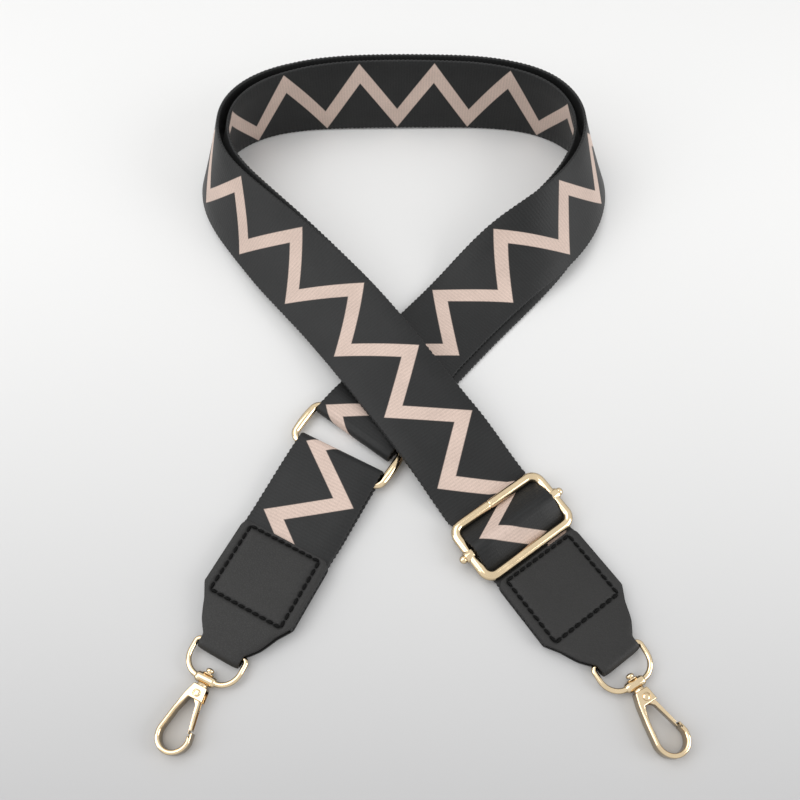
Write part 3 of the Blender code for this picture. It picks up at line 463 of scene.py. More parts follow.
class Tree:
    """Short hand for adding, filling and linking nodes in a material, a group or the sky."""

    def __init__(self, tree):
        self.tree = tree

    def fill(self, node, values):
        """Links sockets to a node's inputs, and sets the inputs that are given plain values."""
        for key, value in values.items():
            if isinstance(value, bpy.types.NodeSocket):
                self.tree.links.new(value, node.inputs[key])
            else:
                node.inputs[key].default_value = value

    def node(self, kind, values=None, **settings):
        """Adds a node with its settings and inputs."""
        made = self.tree.nodes.new(kind)
        for key, value in settings.items():
            setattr(made, key, value)
        self.fill(made, values or {})
        return made

    def math(self, operation, *values):
        """Result of an operation on numbers."""
        return self.node("ShaderNodeMath", dict(enumerate(values)), operation=operation).outputs[0]

    def times(self, first, second):
        """Product of two numbers."""
        return self.math("MULTIPLY", first, second)

    def plus(self, first, second):
        """Sum of two numbers."""
        return self.math("ADD", first, second)

    def mix(self, share, first, second):
        """First colour, with a share of the second."""
        made = self.node("ShaderNodeMix", {0: share, 6: first, 7: second}, data_type="RGBA")
        return made.outputs[2]

    def shaded(self, colour, shade):
        """A colour made lighter or darker by a share."""
        made = self.node("ShaderNodeVectorMath", {0: colour, "Scale": shade}, operation="SCALE")
        return made.outputs[0]

    def range(self, value, low, high, to_low=0.0, to_high=1.0, smooth=False):
        """A number carried from one range to another, and held at the range's ends."""
        made = self.node("ShaderNodeMapRange", {0: value, 1: low, 2: high, 3: to_low, 4: to_high},
                         interpolation_type="SMOOTHSTEP" if smooth else "LINEAR")
        return made.outputs[0]

    def split(self, vector):
        """The three parts of a vector."""
        return self.node("ShaderNodeSeparateXYZ", {0: vector}).outputs

    def noise(self, place, scale, detail=2.0):
        """Soft noise from 0 to 1, with a given number of cells to the metre."""
        made = self.node("ShaderNodeTexNoise", {"Vector": place, "Scale": scale, "Detail": detail})
        return made.outputs[0]

    def spread(self, noise, low, high):
        """A noise's middle part, carried to a range."""
        return self.range(noise, 0.3, 0.7, low, high)

    def bump(self, height, depth, strength):
        """Normal tipped by the slope of a height."""
        return self.node("ShaderNodeBump", {"Height": height, "Distance": depth,
                                            "Strength": strength}).outputs[0]

    def place(self, kind="Object"):
        """Place in the object's own axes, or the way that a ray goes."""
        return self.node("ShaderNodeTexCoord").outputs[kind]

    def map(self, name):
        """Place in a UV map."""
        return self.node("ShaderNodeUVMap", uv_map=name).outputs[0]

    def number(self, name):
        """Number that a mesh has for each point."""
        return self.node("ShaderNodeAttribute", attribute_name=name,
                         attribute_type="GEOMETRY").outputs["Fac"]

    def group(self, name, values):
        """Results of a shared group, which is built when it is first asked for."""
        if name not in bpy.data.node_groups:
            NODE_GROUPS[name](name)
        return self.node("ShaderNodeGroup", values, node_tree=bpy.data.node_groups[name]).outputs


def shader_group(name, numbers, results):
    """New node group that takes a place and numbers: its tree, what it is given and its end."""
    group = bpy.data.node_groups.new(name, "ShaderNodeTree")
    group.interface.new_socket("Vector", in_out="INPUT", socket_type="NodeSocketVector")
    for label, default in numbers.items():
        socket = group.interface.new_socket(label, in_out="INPUT", socket_type="NodeSocketFloat")
        socket.default_value = default
    for label in results:
        group.interface.new_socket(label, in_out="OUTPUT", socket_type="NodeSocketFloat")
    tree = Tree(group)
    return tree, tree.node("NodeGroupInput").outputs, tree.node("NodeGroupOutput")


def build_zigzag(name):
    """Mask of the zigzag: 1 where y - (1 - stroke) tri(x) lies between 0 and stroke."""
    tree, given, out = shader_group(name, {"Stroke": 0.29, "Soft": 0.012}, ["Mask"])
    along, across, _ = tree.split(given["Vector"])
    wave = tree.times(tree.math("PINGPONG", along, 0.5), 2.0)
    height = tree.times(wave, tree.math("SUBTRACT", 1.0, given["Stroke"]))
    over = tree.math("SUBTRACT", across, height)
    past = tree.math("SUBTRACT", over, given["Stroke"])
    soft, under = given["Soft"], tree.times(given["Soft"], -1.0)
    rising = tree.range(over, under, soft, smooth=True)
    falling = tree.range(past, under, soft, 1.0, 0.0, smooth=True)
    tree.fill(out, {"Mask": tree.times(rising, falling)})


def build_weave(name):
    """Height and shade of a tight weave: ribs across the webbing, broken by floats along it.

    The height is a sine of the place along, a finer sine of the place across, and noise.
    """
    tree, given, out = shader_group(name, {"Pitch": 0.0006}, ["Height", "Shade"])
    place = given["Vector"]
    along, across, _ = tree.split(place)
    turns = 2 * math.pi
    rib = tree.math("SINE", tree.times(tree.math("DIVIDE", along, given["Pitch"]), turns))
    warp = tree.math("SINE", tree.times(tree.math("DIVIDE", across, given["Pitch"]), turns * 1.9))
    height = tree.plus(tree.times(rib, 0.20), tree.times(warp, 0.12))
    height = tree.plus(height, tree.times(tree.noise(place, 1300.0, 3.0), 1.5))
    shade = tree.plus(tree.range(height, 0.0, 1.5, 0.78, 1.16),
                      tree.spread(tree.noise(place, 70.0, 4.0), -0.06, 0.06))
    tree.fill(out, {"Height": height, "Shade": shade})


def build_grain(name):
    """Height and shade of fine leather grain: small cells between creases, with broad mottling.

    A cell rises smoothly from its edge inwards; noise bends the cells and roughens them.
    """
    tree, given, out = shader_group(name, {"Grain": 0.0008}, ["Height", "Shade"])
    place = given["Vector"]
    bent = tree.node("ShaderNodeTexNoise", {"Vector": place, "Scale": 600.0}).outputs[1]
    moved = tree.node("ShaderNodeVectorMath", {0: place, 1: tree.shaded(bent, 0.0005)},
                      operation="ADD")
    scale = tree.math("DIVIDE", 1.0, given["Grain"])
    cells = tree.node("ShaderNodeTexVoronoi", {"Vector": moved.outputs[0], "Scale": scale},
                      feature="DISTANCE_TO_EDGE")
    crease = tree.range(cells.outputs["Distance"], 0.0, 0.22, smooth=True)
    shade = tree.plus(tree.range(crease, 0.0, 1.0, 0.86, 1.0),
                      tree.spread(tree.noise(place, 55.0, 3.0), -0.10, 0.10))
    tree.fill(out, {"Height": tree.plus(crease, tree.times(tree.noise(place, 2600.0), 0.5)),
                    "Shade": shade})


def build_polish(name):
    """Shade, roughness and height of plated metal: faint clouds and fine pits."""
    tree, given, out = shader_group(name, {"Roughness": 0.16}, ["Shade", "Roughness", "Height"])
    cloud = tree.noise(given["Vector"], 220.0, 4.0)
    tree.fill(out, {"Shade": tree.spread(cloud, 0.94, 1.05),
                    "Roughness": tree.times(given["Roughness"], tree.spread(cloud, 0.75, 1.35)),
                    "Height": tree.noise(given["Vector"], 1800.0, 3.0)})


def webbing_surface(tree, shader):
    """Dark polyester webbing with a pale zigzag printed on one face."""
    kit = bpy.context.scene.strap_webbing
    zigzag = tree.group("zigzag", {"Vector": tree.map("Print"), "Stroke": kit.stroke_share})
    weave = tree.group("weave", {"Vector": tree.map("Weave"), "Pitch": kit.rib_pitch})
    mask = tree.times(zigzag["Mask"], tree.range(tree.number("printed"), 0.4, 0.9))
    dark = tree.shaded(tuple(kit.ground), tree.math("POWER", weave["Shade"], 2.5))
    pale = tree.shaded(tuple(kit.zigzag), weave["Shade"])
    tree.fill(shader, {"Base Color": tree.mix(mask, dark, pale),
                       "Roughness": tree.range(mask, 0.0, 1.0, 0.52, 0.62),
                       "Normal": tree.bump(weave["Height"], 0.00012, 0.4),
                       "Specular IOR Level": 0.30, "Sheen Weight": 0.05,
                       "Sheen Roughness": 0.45})


def leather_surface(tree, shader):
    """Near black leather with a fine grain, darker along its cut rims, and darker along its seam:
    painted shade in the groove, and leather pressed darker there.
    """
    kit = bpy.context.scene.strap_leather
    grain = tree.group("grain", {"Vector": tree.place(), "Grain": kit.grain})
    # Painted shade along the seam's groove, where the leather is also pressed darker; the cut rims
    # are dark by their own colour
    dark = tree.math("MAXIMUM", tree.times(tree.number("rim"), 0.6), tree.number("seam"))
    colour = tree.mix(dark, (*kit.colour, 1), (0.006, 0.006, 0.006, 1))
    tree.fill(shader, {"Base Color": tree.shaded(colour, grain["Shade"]),
                       "Roughness": tree.range(grain["Height"], 0.2, 1.4, 0.62, 0.47),
                       "Normal": tree.bump(grain["Height"], 0.00008, 0.35),
                       "Specular IOR Level": 0.38})


def thread_surface(tree, shader):
    """Black twisted thread: shade and height are a sine that winds round it."""
    kit = bpy.context.scene.strap_leather
    along, around, _ = tree.split(tree.map("Twist"))
    wound = tree.plus(tree.times(along, 5.0), around)
    twist = tree.math("SINE", tree.times(wound, 2 * math.pi))
    shade = tree.range(twist, -1.0, 1.0, 0.7, 1.3)
    tree.fill(shader, {"Base Color": tree.shaded(tuple(kit.thread), shade), "Roughness": 0.75,
                       "Normal": tree.bump(twist, 0.00008, 0.6), "Specular IOR Level": 0.15})


def plated_surface(tree, shader, share=1.0):
    """Polished pale gold plating with faint clouds and pits, and painted shade where it turns away
    from the eye, for dark reflections.
    """
    kit = bpy.context.scene.strap_metal
    polish = tree.group("polish", {"Vector": tree.place(), "Roughness": kit.roughness})
    # Painted shade: the colour darkens as the surface turns from the eye, standing in for dark
    # reflections at the sides of wires
    turned = tree.node("ShaderNodeLayerWeight", {"Blend": 0.5}).outputs["Facing"]
    shade = tree.times(polish["Shade"], tree.range(turned, 0.2, 0.85, 1.0, 0.25))
    colour = [value * share for value in kit.colour]
    tree.fill(shader, {"Base Color": tree.shaded(colour, shade),
                       "Roughness": polish["Roughness"],
                       "Normal": tree.bump(polish["Height"], 0.00002, 0.3), "Metallic": 1.0})


def floor_surface(tree, shader):
    """Pale floor with painted shade: darker to the front by the square of the way there, painted a
    touch lighter to the right, with faint clouds.
    """
    kit = bpy.context.scene.strap_stage
    place = tree.place()
    across, away, _ = tree.split(place)
    # Painted light and shade: the colour falls from far to near towards the front, and rises a
    # little to the right
    fall = tree.range(away, 0.174, -0.20)
    colour = tree.mix(tree.math("SUBTRACT", 1.0, tree.times(fall, fall)), (*kit.near, 1),
                      (*kit.far, 1))
    side_light = tree.range(across, -0.2, 0.2, 0.988, 1.012)
    shade = tree.times(side_light, tree.spread(tree.noise(place, 4.0), 0.995, 1.005))
    tree.fill(shader, {"Base Color": tree.shaded(colour, shade), "Roughness": 0.7,
                       "Specular IOR Level": 0.2})


NODE_GROUPS = {"zigzag": build_zigzag, "weave": build_weave, "grain": build_grain,
               "polish": build_polish}
SURFACES = {"zigzag_webbing": webbing_surface, "grained_leather": leather_surface,
            "twisted_thread": thread_surface, "gold_plating": plated_surface,
            "plated_spring": partial(plated_surface, share=0.85), "pale_floor": floor_surface}
SURFACE_OF_SLOT = {"printed_webbing": "zigzag_webbing", "black_leather": "grained_leather",
                   "black_thread": "twisted_thread", "pale_gold": "gold_plating",
                   "spring_steel": "gold_plating"}


def material(name):
    """The material of that name, built when it is first asked for."""
    if name not in bpy.data.materials:
        made = bpy.data.materials.new(name)
        made.use_nodes = True
        SURFACES[name](Tree(made.node_tree), made.node_tree.nodes["Principled BSDF"])
    return bpy.data.materials[name]


# Webbing

def band_lift(u):
    """Height of the band's underside: a smooth step up from the slider, and one down again."""
    kit = bpy.context.scene.strap_webbing
    top = 2 * (kit.thickness + GAP) + RING_WIRE + GAP
    climb = FLOOR_GAP + (top - FLOOR_GAP) * smoothstep(u, UPPER_BAR_U, CLIMB_TO)
    return climb * (1 - smoothstep(u, SINK_FROM, SINK_TO))


def layer_height(u, outer):
    """Height of a layer's middle over the inner layer's inner face.

    The outer layer lies one thickness and a gap higher, rises over the loop to the full room
    between the layers, and climbs once more over the ring's wire, each as a smooth step.
    """
    kit = bpy.context.scene.strap_webbing
    thick = kit.thickness
    u = np.asarray(u, float)
    if not outer:
        return np.full_like(u, thick / 2)
    opened = smoothstep(u, OPENING_FROM, OPENING_FROM + OPENING_LENGTH)
    closed = smoothstep(u, CLOSING_FROM, CLOSING_FROM + OPENING_LENGTH)
    height = thick * 1.5 + GAP + (kit.layer_gap - GAP) * (opened - closed)
    level = RING_AT - kit.width / 2 * math.tan(RING_TURN) - RING_WIRE / 2 - GAP
    return height + (RING_WIRE + GAP) * smoothstep(u, level - FOLD_CLIMB, level)


def layer_slip(u):
    """Sideways slip of the outer layer: a smooth step up, a level run and a smooth step down.

    The skewed ring draws the two layers apart in this way.
    """
    start, full, hold, end = SLIP_PLACES
    return SLIP * smoothstep(u, start, full) * (1 - smoothstep(u, hold, end))


def webbing_section(kit, steps=6):
    """Closed section of the webbing: places across and heights, printed face first.

    The faces are flat and each edge is half a circle of the webbing's thickness.
    """
    half = kit.thickness / 2
    turn = np.linspace(math.pi / 2, -math.pi / 2, steps + 1)[1:-1]
    flat, none, level = np.linspace(half, kit.width - half, steps), np.zeros(steps), 0 * turn
    bow = half * np.cos(turn)
    across = np.concatenate([flat, kit.width - half + bow, flat[::-1], half - bow])
    height = np.concatenate([none + half, half * np.sin(turn), none - half, -half * np.sin(turn)])
    edge = np.concatenate([none, np.sqrt(np.cos(turn)), none, -np.sqrt(np.cos(turn))])
    printed = np.concatenate([none + 1, level, none, level])
    return across, height, edge, printed


def make_webbing(name, centre, across_dir, normal, phase, margins, start_along=0.0):
    """Webbing through rows of edge points.

    A point is centre + across (a + scallop) + normal h. The scallop is a cosine of the distance
    along the webbing, and only moves the rounded edges.
    """
    kit = bpy.context.scene.strap_webbing
    a, h, edge, printed = webbing_section(kit)
    along = start_along + length_along(centre + across_dir * kit.width / 2)
    wave = 0.5 * np.cos(2 * math.pi * along / kit.scallop_pitch) - 0.5
    places_across = a[None, :] + kit.scallop * wave[:, None] * edge[None, :]
    points = (centre[:, None] + across_dir[:, None] * places_across[..., None]
              + normal[:, None] * h[None, :, None])
    obj = swept(name, points, smooth_angle=math.radians(60))
    low, high = margins
    shares = (a[None, :] - low[:, None]) / (high - low)[:, None]
    for label, first, second in (("Print", phase[:, None], shares),
                                 ("Weave", along[:, None], a[None, :])):
        pair = [np.broadcast_to(values, shares.shape) for values in (first, second)]
        per_corner(obj, label, np.stack(pair, -1))
    per_point(obj, "printed", np.broadcast_to(printed[None, :], shares.shape))
    return obj


# Print: margins of the zigzag across each layer, and its phase along the outer one
OUTER_MARGINS = (0.0042, 0.0352)
INNER_MARGINS = (0.0010, 0.0367)
MARGIN_CHANGE = 0.03
OUTER_PHASES = ((SLIDER_END_U, -0.359), (0.3064, 5.950), (0.4464, 9.658), (0.7360, 17.658))
INNER_TOP_APEX_U = 0.3067
INNER_REPEATS = 28


def main_webbing():
    """Outer layer from the slider round the loop, fold at the ring and inner layer back.

    A row's edge point is the route's edge, raised by the band's lift and its layer's height,
    and moved sideways by the outer layer's slip. The fold is half a circle about the ring's
    wire. Where the band leans past upright, it is raised so that it stays over the floor.
    """
    kit = bpy.context.scene.strap_webbing
    fold = round_wire(RING_WIRE)
    ring_z = PLACES["ring"].origin[2]
    fold_at = RING_AT + kit.width / 2 * math.tan(RING_TURN) + FOLD_PLAY
    count = int(round((fold_at - SLIDER_END_U) / kit.row_step)) + 1
    outward = np.linspace(SLIDER_END_U, fold_at, count)
    inward = outward[::-1]
    level, bent = np.zeros(count), np.zeros(len(HALF_TURN))
    distances = np.concatenate([outward, bent + fold_at, inward])
    heights = np.concatenate([layer_height(outward, True), ring_z + fold * np.sin(HALF_TURN),
                              layer_height(inward, False)])
    shifts = np.concatenate([level, fold * np.cos(HALF_TURN), level])
    slips = np.concatenate([layer_slip(outward), bent, level])
    turns = np.concatenate([level + math.pi / 2, HALF_TURN, level - math.pi / 2])
    edge, ahead, across, normal, lean = Route(kit.width).at(distances)
    past = np.maximum(0, -np.cos(lean)) * (2 * kit.thickness + kit.layer_gap)
    lift = band_lift(distances) + past
    centre = (edge + UP * lift[:, None] + ahead * shifts[:, None] + normal * heights[:, None]
              + across * slips[:, None])
    face = np.sin(turns)[:, None] * normal + np.cos(turns)[:, None] * ahead
    outer_phase = np.interp(outward, *zip(*OUTER_PHASES))
    inner_phase = INNER_REPEATS - 0.5 - (inward - INNER_TOP_APEX_U) / kit.repeat
    between = np.linspace(outer_phase[-1], inner_phase[0], len(bent) + 2)[1:-1]
    phase = np.concatenate([outer_phase, between, inner_phase])
    share = np.concatenate([level, bent, smoothstep(inward, fold_at, fold_at - MARGIN_CHANGE)])
    margins = [outer + (inner - outer) * share
               for outer, inner in zip(OUTER_MARGINS, INNER_MARGINS)]
    obj = make_webbing("strap_webbing", centre, across, face, phase, margins)
    put(obj, None, "main_webbing", "webbing_before_crossing", "return_before_crossing",
        slot="printed_webbing")
    leg = PLACES["right_leg"]
    start = leg.world((SLIDER_END_U + FRONT_STRETCH, 0, 0))
    tuple(leg.world((SLIDER_END_U, 0, 0)))
    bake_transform(obj)


def belt(circles, step=0.0005, turn_step=0.12):
    """Path of a belt along signed circles, (u, z, radius), with straight runs between them.

    A positive radius turns the path to the left round its circle, a negative one to the right.
    """
    headings = []
    for (u0, z0, r0), (u1, z1, r1) in zip(circles, circles[1:]):
        span = math.hypot(u1 - u0, z1 - z0)
        headings.append(math.atan2(z1 - z0, u1 - u0) - math.asin((r1 - r0) / span))
    runs = []
    for (u, z, radius), first, last in zip(circles, headings[:1] + headings,
                                           headings + headings[-1:]):
        side = np.sign(radius)
        turn = side * ((side * (last - first)) % (2 * math.pi))
        angle = first + np.linspace(0, turn, int(abs(turn) / turn_step) + 2)
        runs.append(np.stack([u + radius * np.sin(angle), z - radius * np.cos(angle)], 1))
    corners = np.concatenate(runs)
    apart = np.linalg.norm(np.diff(corners, axis=0), axis=1) > 1e-7
    corners = corners[np.concatenate(([True], apart))]
    distance = length_along(corners)
    places_on = np.linspace(0, distance[-1], int(distance[-1] / step) + 1)
    return np.stack([np.interp(places_on, distance, corners[:, i]) for i in (0, 1)], 1), places_on


def leg_webbing(name, place, path, along, phase, half=None):
    """Webbing along a path of (u, z) places in a leg's own axes, printed on its left side.

    Its edge lies half its width to the side of the path, and its normal is the path's own.
    """
    kit = bpy.context.scene.strap_webbing
    half = half or kit.width / 2
    ahead = unit(np.gradient(path, axis=0))
    zeros = np.zeros(len(path))
    edge = place.world(np.stack([path[:, 0], zeros + half, path[:, 1]], 1))
    across = np.broadcast_to(-place.y * (2 * half / kit.width), edge.shape)
    normal = -ahead[:, 1:2] * place.x + ahead[:, :1] * UP
    margins = [zeros + margin for margin in OUTER_MARGINS]
    return make_webbing(name, edge, across, normal, phase, margins, along[0])


def slider_webbing():
    """Webbing out of the tab and through the slider, and the folded end round its centre bar.

    Both paths are belts: arcs about the bars, at half a wire, the room and half a thickness
    from their middles, with straight runs between them.
    """
    kit = bpy.context.scene.strap_webbing
    leg = PLACES["right_leg"]
    ply = kit.thickness + GAP
    web_z = tab_web_height()
    passing = round_wire(SLIDER_WIRE, BAR_PLAY)
    fold = round_wire(CENTRE_BAR_WIRE)
    return_z = FLOOR_GAP + kit.thickness / 2
    lower_z = web_z - WEB_DIP + passing
    upper_z = return_z + ply + passing
    centre_z = (lower_z + upper_z) / 2
    end_z = float(band_lift(SLIDER_END_U)) + kit.thickness / 2
    tab_rim = 0.0009
    path, along = belt([(WEB_END_AT, web_z, 0), (TAB_LENGTH + 0.0002, web_z - tab_rim, -tab_rim),
                        (LOWER_BAR_U, lower_z, passing), (CENTRE_BAR_U, centre_z, -(fold + ply)),
                        (UPPER_BAR_U, upper_z, passing), (SLIDER_END_U, end_z + ply, 0)])
    laced = leg_webbing("laced_webbing", leg, path, along,
                        np.interp(path[:, 0], *zip(*LACED_PHASES)))
    put(laced, None, "webbing_at_tab", "webbing_in_slider", slot="printed_webbing")
    tuple(leg.world((WEB_END_AT + 0.001, 0, 0)))
    tuple(leg.world((LOWER_BAR_U - 0.0015, 0, 0)))
    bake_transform(laced)
    steep = -math.asin((fold + ply + passing) / BAR_STEP)
    drop = fold / math.cos(steep) + FOLDED_LENGTH * math.tan(steep)
    bend = 0.003
    path, along = belt([(SLIDER_END_U, end_z, 0), (UPPER_BAR_U, return_z + bend, -bend),
                        (CENTRE_BAR_U, centre_z, -fold),
                        (CENTRE_BAR_U + FOLDED_LENGTH, centre_z + drop, 0)])
    end = leg_webbing("folded_end", leg, path, along, -0.2 - along / kit.repeat, END_FOLD_HALF)
    put(end, "slider", "webbing_end_fold", slot="printed_webbing")


def short_webbing():
    """Short webbing of the left leg: out of the tab, over and round the ring and back.

    Its path is a smooth step up to the ring, half a circle about the ring's bar, a level run
    back under the upper ply and a smooth step up into the tab.
    """
    kit = bpy.context.scene.strap_webbing
    ring_z = PLACES["ring"].origin[2]
    ply = kit.thickness + GAP
    web_z = tab_web_height()
    fold = round_wire(RING_WIRE)
    skew = kit.width / 2 * math.tan(LEFT_LEG_TURN)
    bar_at = LEFT_BAR_DISTANCE - RING_DROP
    fold_at = bar_at + skew + FOLD_PLAY
    rise_to = bar_at - skew - RING_WIRE / 2 - 0.003
    count = int(round((fold_at - WEB_END_AT) / kit.row_step))
    outward = np.linspace(WEB_END_AT, fold_at, count + 1)
    inward = outward[::-1]
    rise = smoothstep(outward, TAB_LENGTH + 0.003, rise_to)
    upper = web_z + ply + (ring_z + fold - web_z - ply) * rise
    sink = smoothstep(inward, TAB_LENGTH + GAP, TAB_LENGTH + GAP + 0.010)
    lower = web_z + (kit.thickness / 2 - web_z) * sink
    path = folded(outward, upper, lower, (fold_at, ring_z), fold, HALF_TURN)
    along = length_along(path)
    phase = (WEB_END_AT - SHORT_APEX_U + along) / SHORT_REPEAT
    obj = leg_webbing("leg_webbing", PLACES["left_leg"], path, along, phase)
    put(obj, "left_leg", "short_webbing", slot="printed_webbing")


# Leather tabs and stitches

# Half widths of a tab at places along it
HALF_PLACES = ((0, 0.0086), (0.0048, 0.0087), (0.0066, 0.0103), (0.0091, 0.0123),
               (0.0111, 0.0134), (0.0158, 0.0156), (0.021, 0.019))


def tab_half_width(u):
    """Half the width of a tab: straight runs between given places, softened over 2 mm.

    Its end has round corners: corner - root(corner squared - (place past the corner) squared).
    """
    fine = np.linspace(-0.01, TAB_LENGTH + 0.01, 1400)
    half = np.interp(fine, *zip(*HALF_PLACES))
    window = np.hanning(41)
    half = np.convolve(np.pad(half, 20, mode="edge"), window / window.sum(), mode="valid")
    into = np.clip(np.asarray(u) - (TAB_LENGTH - TAB_CORNER), 0, TAB_CORNER)
    return np.interp(u, fine, half) - (TAB_CORNER - np.sqrt(TAB_CORNER ** 2 - into ** 2))


def seam_distance(u, y):
    """Distance from the square seam's line: that of a rectangle, with its corners rounded."""
    away_u = np.abs(u - SEAM_START - SEAM_LENGTH / 2) - (SEAM_LENGTH / 2 - SEAM_CORNER)
    away_y = np.abs(y) - (SEAM_WIDTH / 2 - SEAM_CORNER)
    outside = np.hypot(np.maximum(away_u, 0), np.maximum(away_y, 0))
    inside = np.minimum(np.maximum(away_u, away_y), 0)
    return np.abs(outside + inside - SEAM_CORNER)


def seam_pull(away, bell, narrow, wide):
    """Pull of the seam at a distance from it: a narrow bell on a wider fall.

    It is bell exp(-(distance / narrow) squared) + (1 - bell) exp(-distance / wide).
    """
    return bell * np.exp(-(away / narrow) ** 2) + (1 - bell) * np.exp(-away / wide)


def leather_tab(side, plies):
    """Leather tab folded round the hook's wire loop over the webbing; gives its top's height.

    A point is the path's place at u plus the section: half width times a share across, and half
    the thickness up or down. The outer face sinks by the groove's depth times the seam's pull,
    and towards its rim by 0.5 mm exp(-distance / 1.1 mm).
    """
    kit = bpy.context.scene.strap_leather
    thick = kit.thickness
    bar_z = PLACES[f"{side}_loop"].origin[2]
    fold = bar_z - thick / 2
    top = thick + GAP + plies * (bpy.context.scene.strap_webbing.thickness + GAP) + thick / 2
    rounded = np.linspace(math.pi / 2, 0, 9)[:-1]
    run = np.concatenate([TAB_LENGTH - TAB_CORNER * (1 - np.sin(rounded)),
                          np.linspace(TAB_LENGTH - TAB_CORNER, bar_z, TAB_STEPS)])
    run[0] -= 0.00002  # off the very end, where the width's slope is upright
    turn = np.linspace(-math.pi / 2, -3 * math.pi / 2, 18)[1:-1]
    upper = bar_z + fold + (top - bar_z - fold) * smoothstep(run[::-1], *TAB_FALL)
    path = folded(run, 0 * run + thick / 2, upper, (bar_z, bar_z), fold, turn)
    ahead = unit(np.gradient(path, axis=0))
    normal = np.stack([ahead[:, 1], -ahead[:, 0]], 1)
    shares = np.linspace(-1, 1, FACE_STEPS)
    turn = np.linspace(-math.pi / 2, math.pi / 2, 7)[1:-1]
    half = tab_half_width(path[:, 0])[:, None]
    face_y = shares * (half - CUT_EDGE)
    round_y = half - CUT_EDGE + CUT_EDGE * np.cos(turn)
    y = np.concatenate([face_y, round_y, face_y[:, ::-1], -round_y], 1)
    u = np.broadcast_to(path[:, :1], y.shape)
    flat, cut = np.ones(len(shares)), np.ones(len(turn))
    outer = np.concatenate([flat, 0.5 * cut, 0 * flat, 0.5 * cut])
    away = seam_distance(u, y)
    dent = kit.groove * seam_pull(away, 0.4, 0.0007, 0.0014)
    from_rim = np.minimum(half - np.abs(y), TAB_LENGTH - u)
    rounding = 0.0005 * np.exp(-np.maximum(from_rim, 0) / 0.0011)
    h = np.concatenate([-flat, np.sin(turn), flat, -np.sin(turn)]) * thick / 2
    h = h + (dent + rounding) * outer
    xz = path[:, None, :] + normal[:, None, :] * h[..., None]
    rings = PLACES[f"{side}_leg"].world(np.stack([xz[..., 0], y, xz[..., 1]], -1))
    obj = swept(f"{side}_tab_leather", rings)
    rim = np.tile(np.concatenate([0 * flat, cut, 0 * flat, cut]), (len(y), 1))
    rim[0], rim[-1] = 1, 1
    per_point(obj, "rim", rim)
    # Painted shade in and beside the seam's groove, where the leather is also pressed darker
    seam_shade = seam_pull(away, 0.8, 0.0005, 0.0012)
    per_point(obj, "seam", np.minimum(seam_shade, 1) * outer)
    put(obj, TAB_BODY[side], f"{side}_leather_tab", slot="black_leather")
    return top + thick / 2


def stitches(side, top):
    """Stitches of a square seam, above and below its tab.

    Each is a short bowed capsule: its middle rises by a sine of the place along it, its width
    falls to the ends by the root of a sine, and it leans a little off the seam's line.
    """
    kit = bpy.context.scene.strap_leather
    sunk_above, sunk_below, floor_room = 0.00038, 0.0004, 0.00005
    spots = []
    sides = ((SEAM_LENGTH, SEAM_WIDTH, False), (SEAM_WIDTH, SEAM_LENGTH, True))
    for sign in (1, -1):
        for run, apart, turned in sides:
            count = int(round(run / kit.stitch))
            at = (np.arange(count) + 0.5) / count * run - run / 2
            away = np.full(count, sign * apart / 2)
            angle = -sign * math.pi / 2 if turned else (1 - sign) * math.pi / 2
            spots.append(np.stack([away if turned else at, at if turned else away,
                                   np.full(count, angle)], 1))
    mid_x, mid_y, lean = np.concatenate(spots).T[:, :, None, None]
    mid_x = mid_x + SEAM_START + SEAM_LENGTH / 2
    lean = lean + math.radians(7)
    share, around = np.linspace(0, 1, 9), full_turn(8)
    rows, points_round = len(share), len(around)
    each = rows * points_round
    bow = np.sin(math.pi * share)[:, None] * kit.thread_width * 0.15
    body = np.sin(math.pi * np.clip(share, 0.02, 0.98))[:, None] ** 0.5 * kit.thread_width / 2
    own_x = (share - 0.5)[:, None] * kit.stitch * 0.84
    own_y, own_z = body * np.cos(around), bow + body * np.sin(around)
    x = mid_x + own_x * np.cos(lean) - own_y * np.sin(lean)
    y = mid_y + own_x * np.sin(lean) + own_y * np.cos(lean)
    above = np.broadcast_to(top - sunk_above + own_z, x.shape)
    below = np.broadcast_to(np.maximum(sunk_below - own_z, floor_room), x.shape)
    points = np.concatenate([np.stack([x, y, z], -1) for z in (above, below)])
    starts = each * np.arange(len(points))[:, None]
    faces = (grid_faces(rows, points_round, False) + starts[..., None]).reshape(-1, 4).tolist()
    first = np.arange(points_round)
    caps = np.concatenate([first + starts, first + each - points_round + starts]).tolist()
    obj = new_mesh(f"{side}_stitches", PLACES[f"{side}_leg"].world(points), faces + caps)
    face_outwards(obj)
    twist = np.stack(np.broadcast_arrays(share[:, None], around / (2 * math.pi)), -1)
    per_corner(obj, "Twist", np.broadcast_to(twist, (len(points), *twist.shape)))
    put(obj, TAB_BODY[side], f"{side}_needle_thread", f"{side}_bobbin_thread",
        slot="black_thread")


# Metal

def rounded_rectangle(length, width, radius, steps, straight):
    """Closed plan of a rectangle with round corners: four arcs, and straight runs between."""
    x, y = length / 2 - radius, width / 2 - radius
    quarter = np.linspace(0, math.pi / 2, steps + 1)
    runs = [arc(centre, radius, quarter + turn * math.pi / 2)
            for turn, centre in enumerate(((x, y), (-x, y), (-x, -y), (x, -y)))]
    full = []
    for run, following in zip(runs, runs[1:] + runs[:1]):
        share = np.linspace(0, 1, straight + 1)[1:-1, None]
        full += [run, run[-1] * (1 - share) + following[0] * share]
    return np.concatenate(full)


def plan_tube(plan, radius, around=28):
    """Round wire along a closed plan: plan point + r (cos angle side + sin angle up)."""
    radius = np.broadcast_to(radius, len(plan))[:, None]
    ahead = unit(np.roll(plan, -1, 0) - np.roll(plan, 1, 0))
    side = np.stack([ahead[:, 1], -ahead[:, 0]], 1)
    angle = full_turn(around)
    xy = plan[:, None] + side[:, None] * (radius * np.cos(angle))[..., None]
    return np.concatenate([xy, (radius * np.sin(angle))[..., None]], -1)


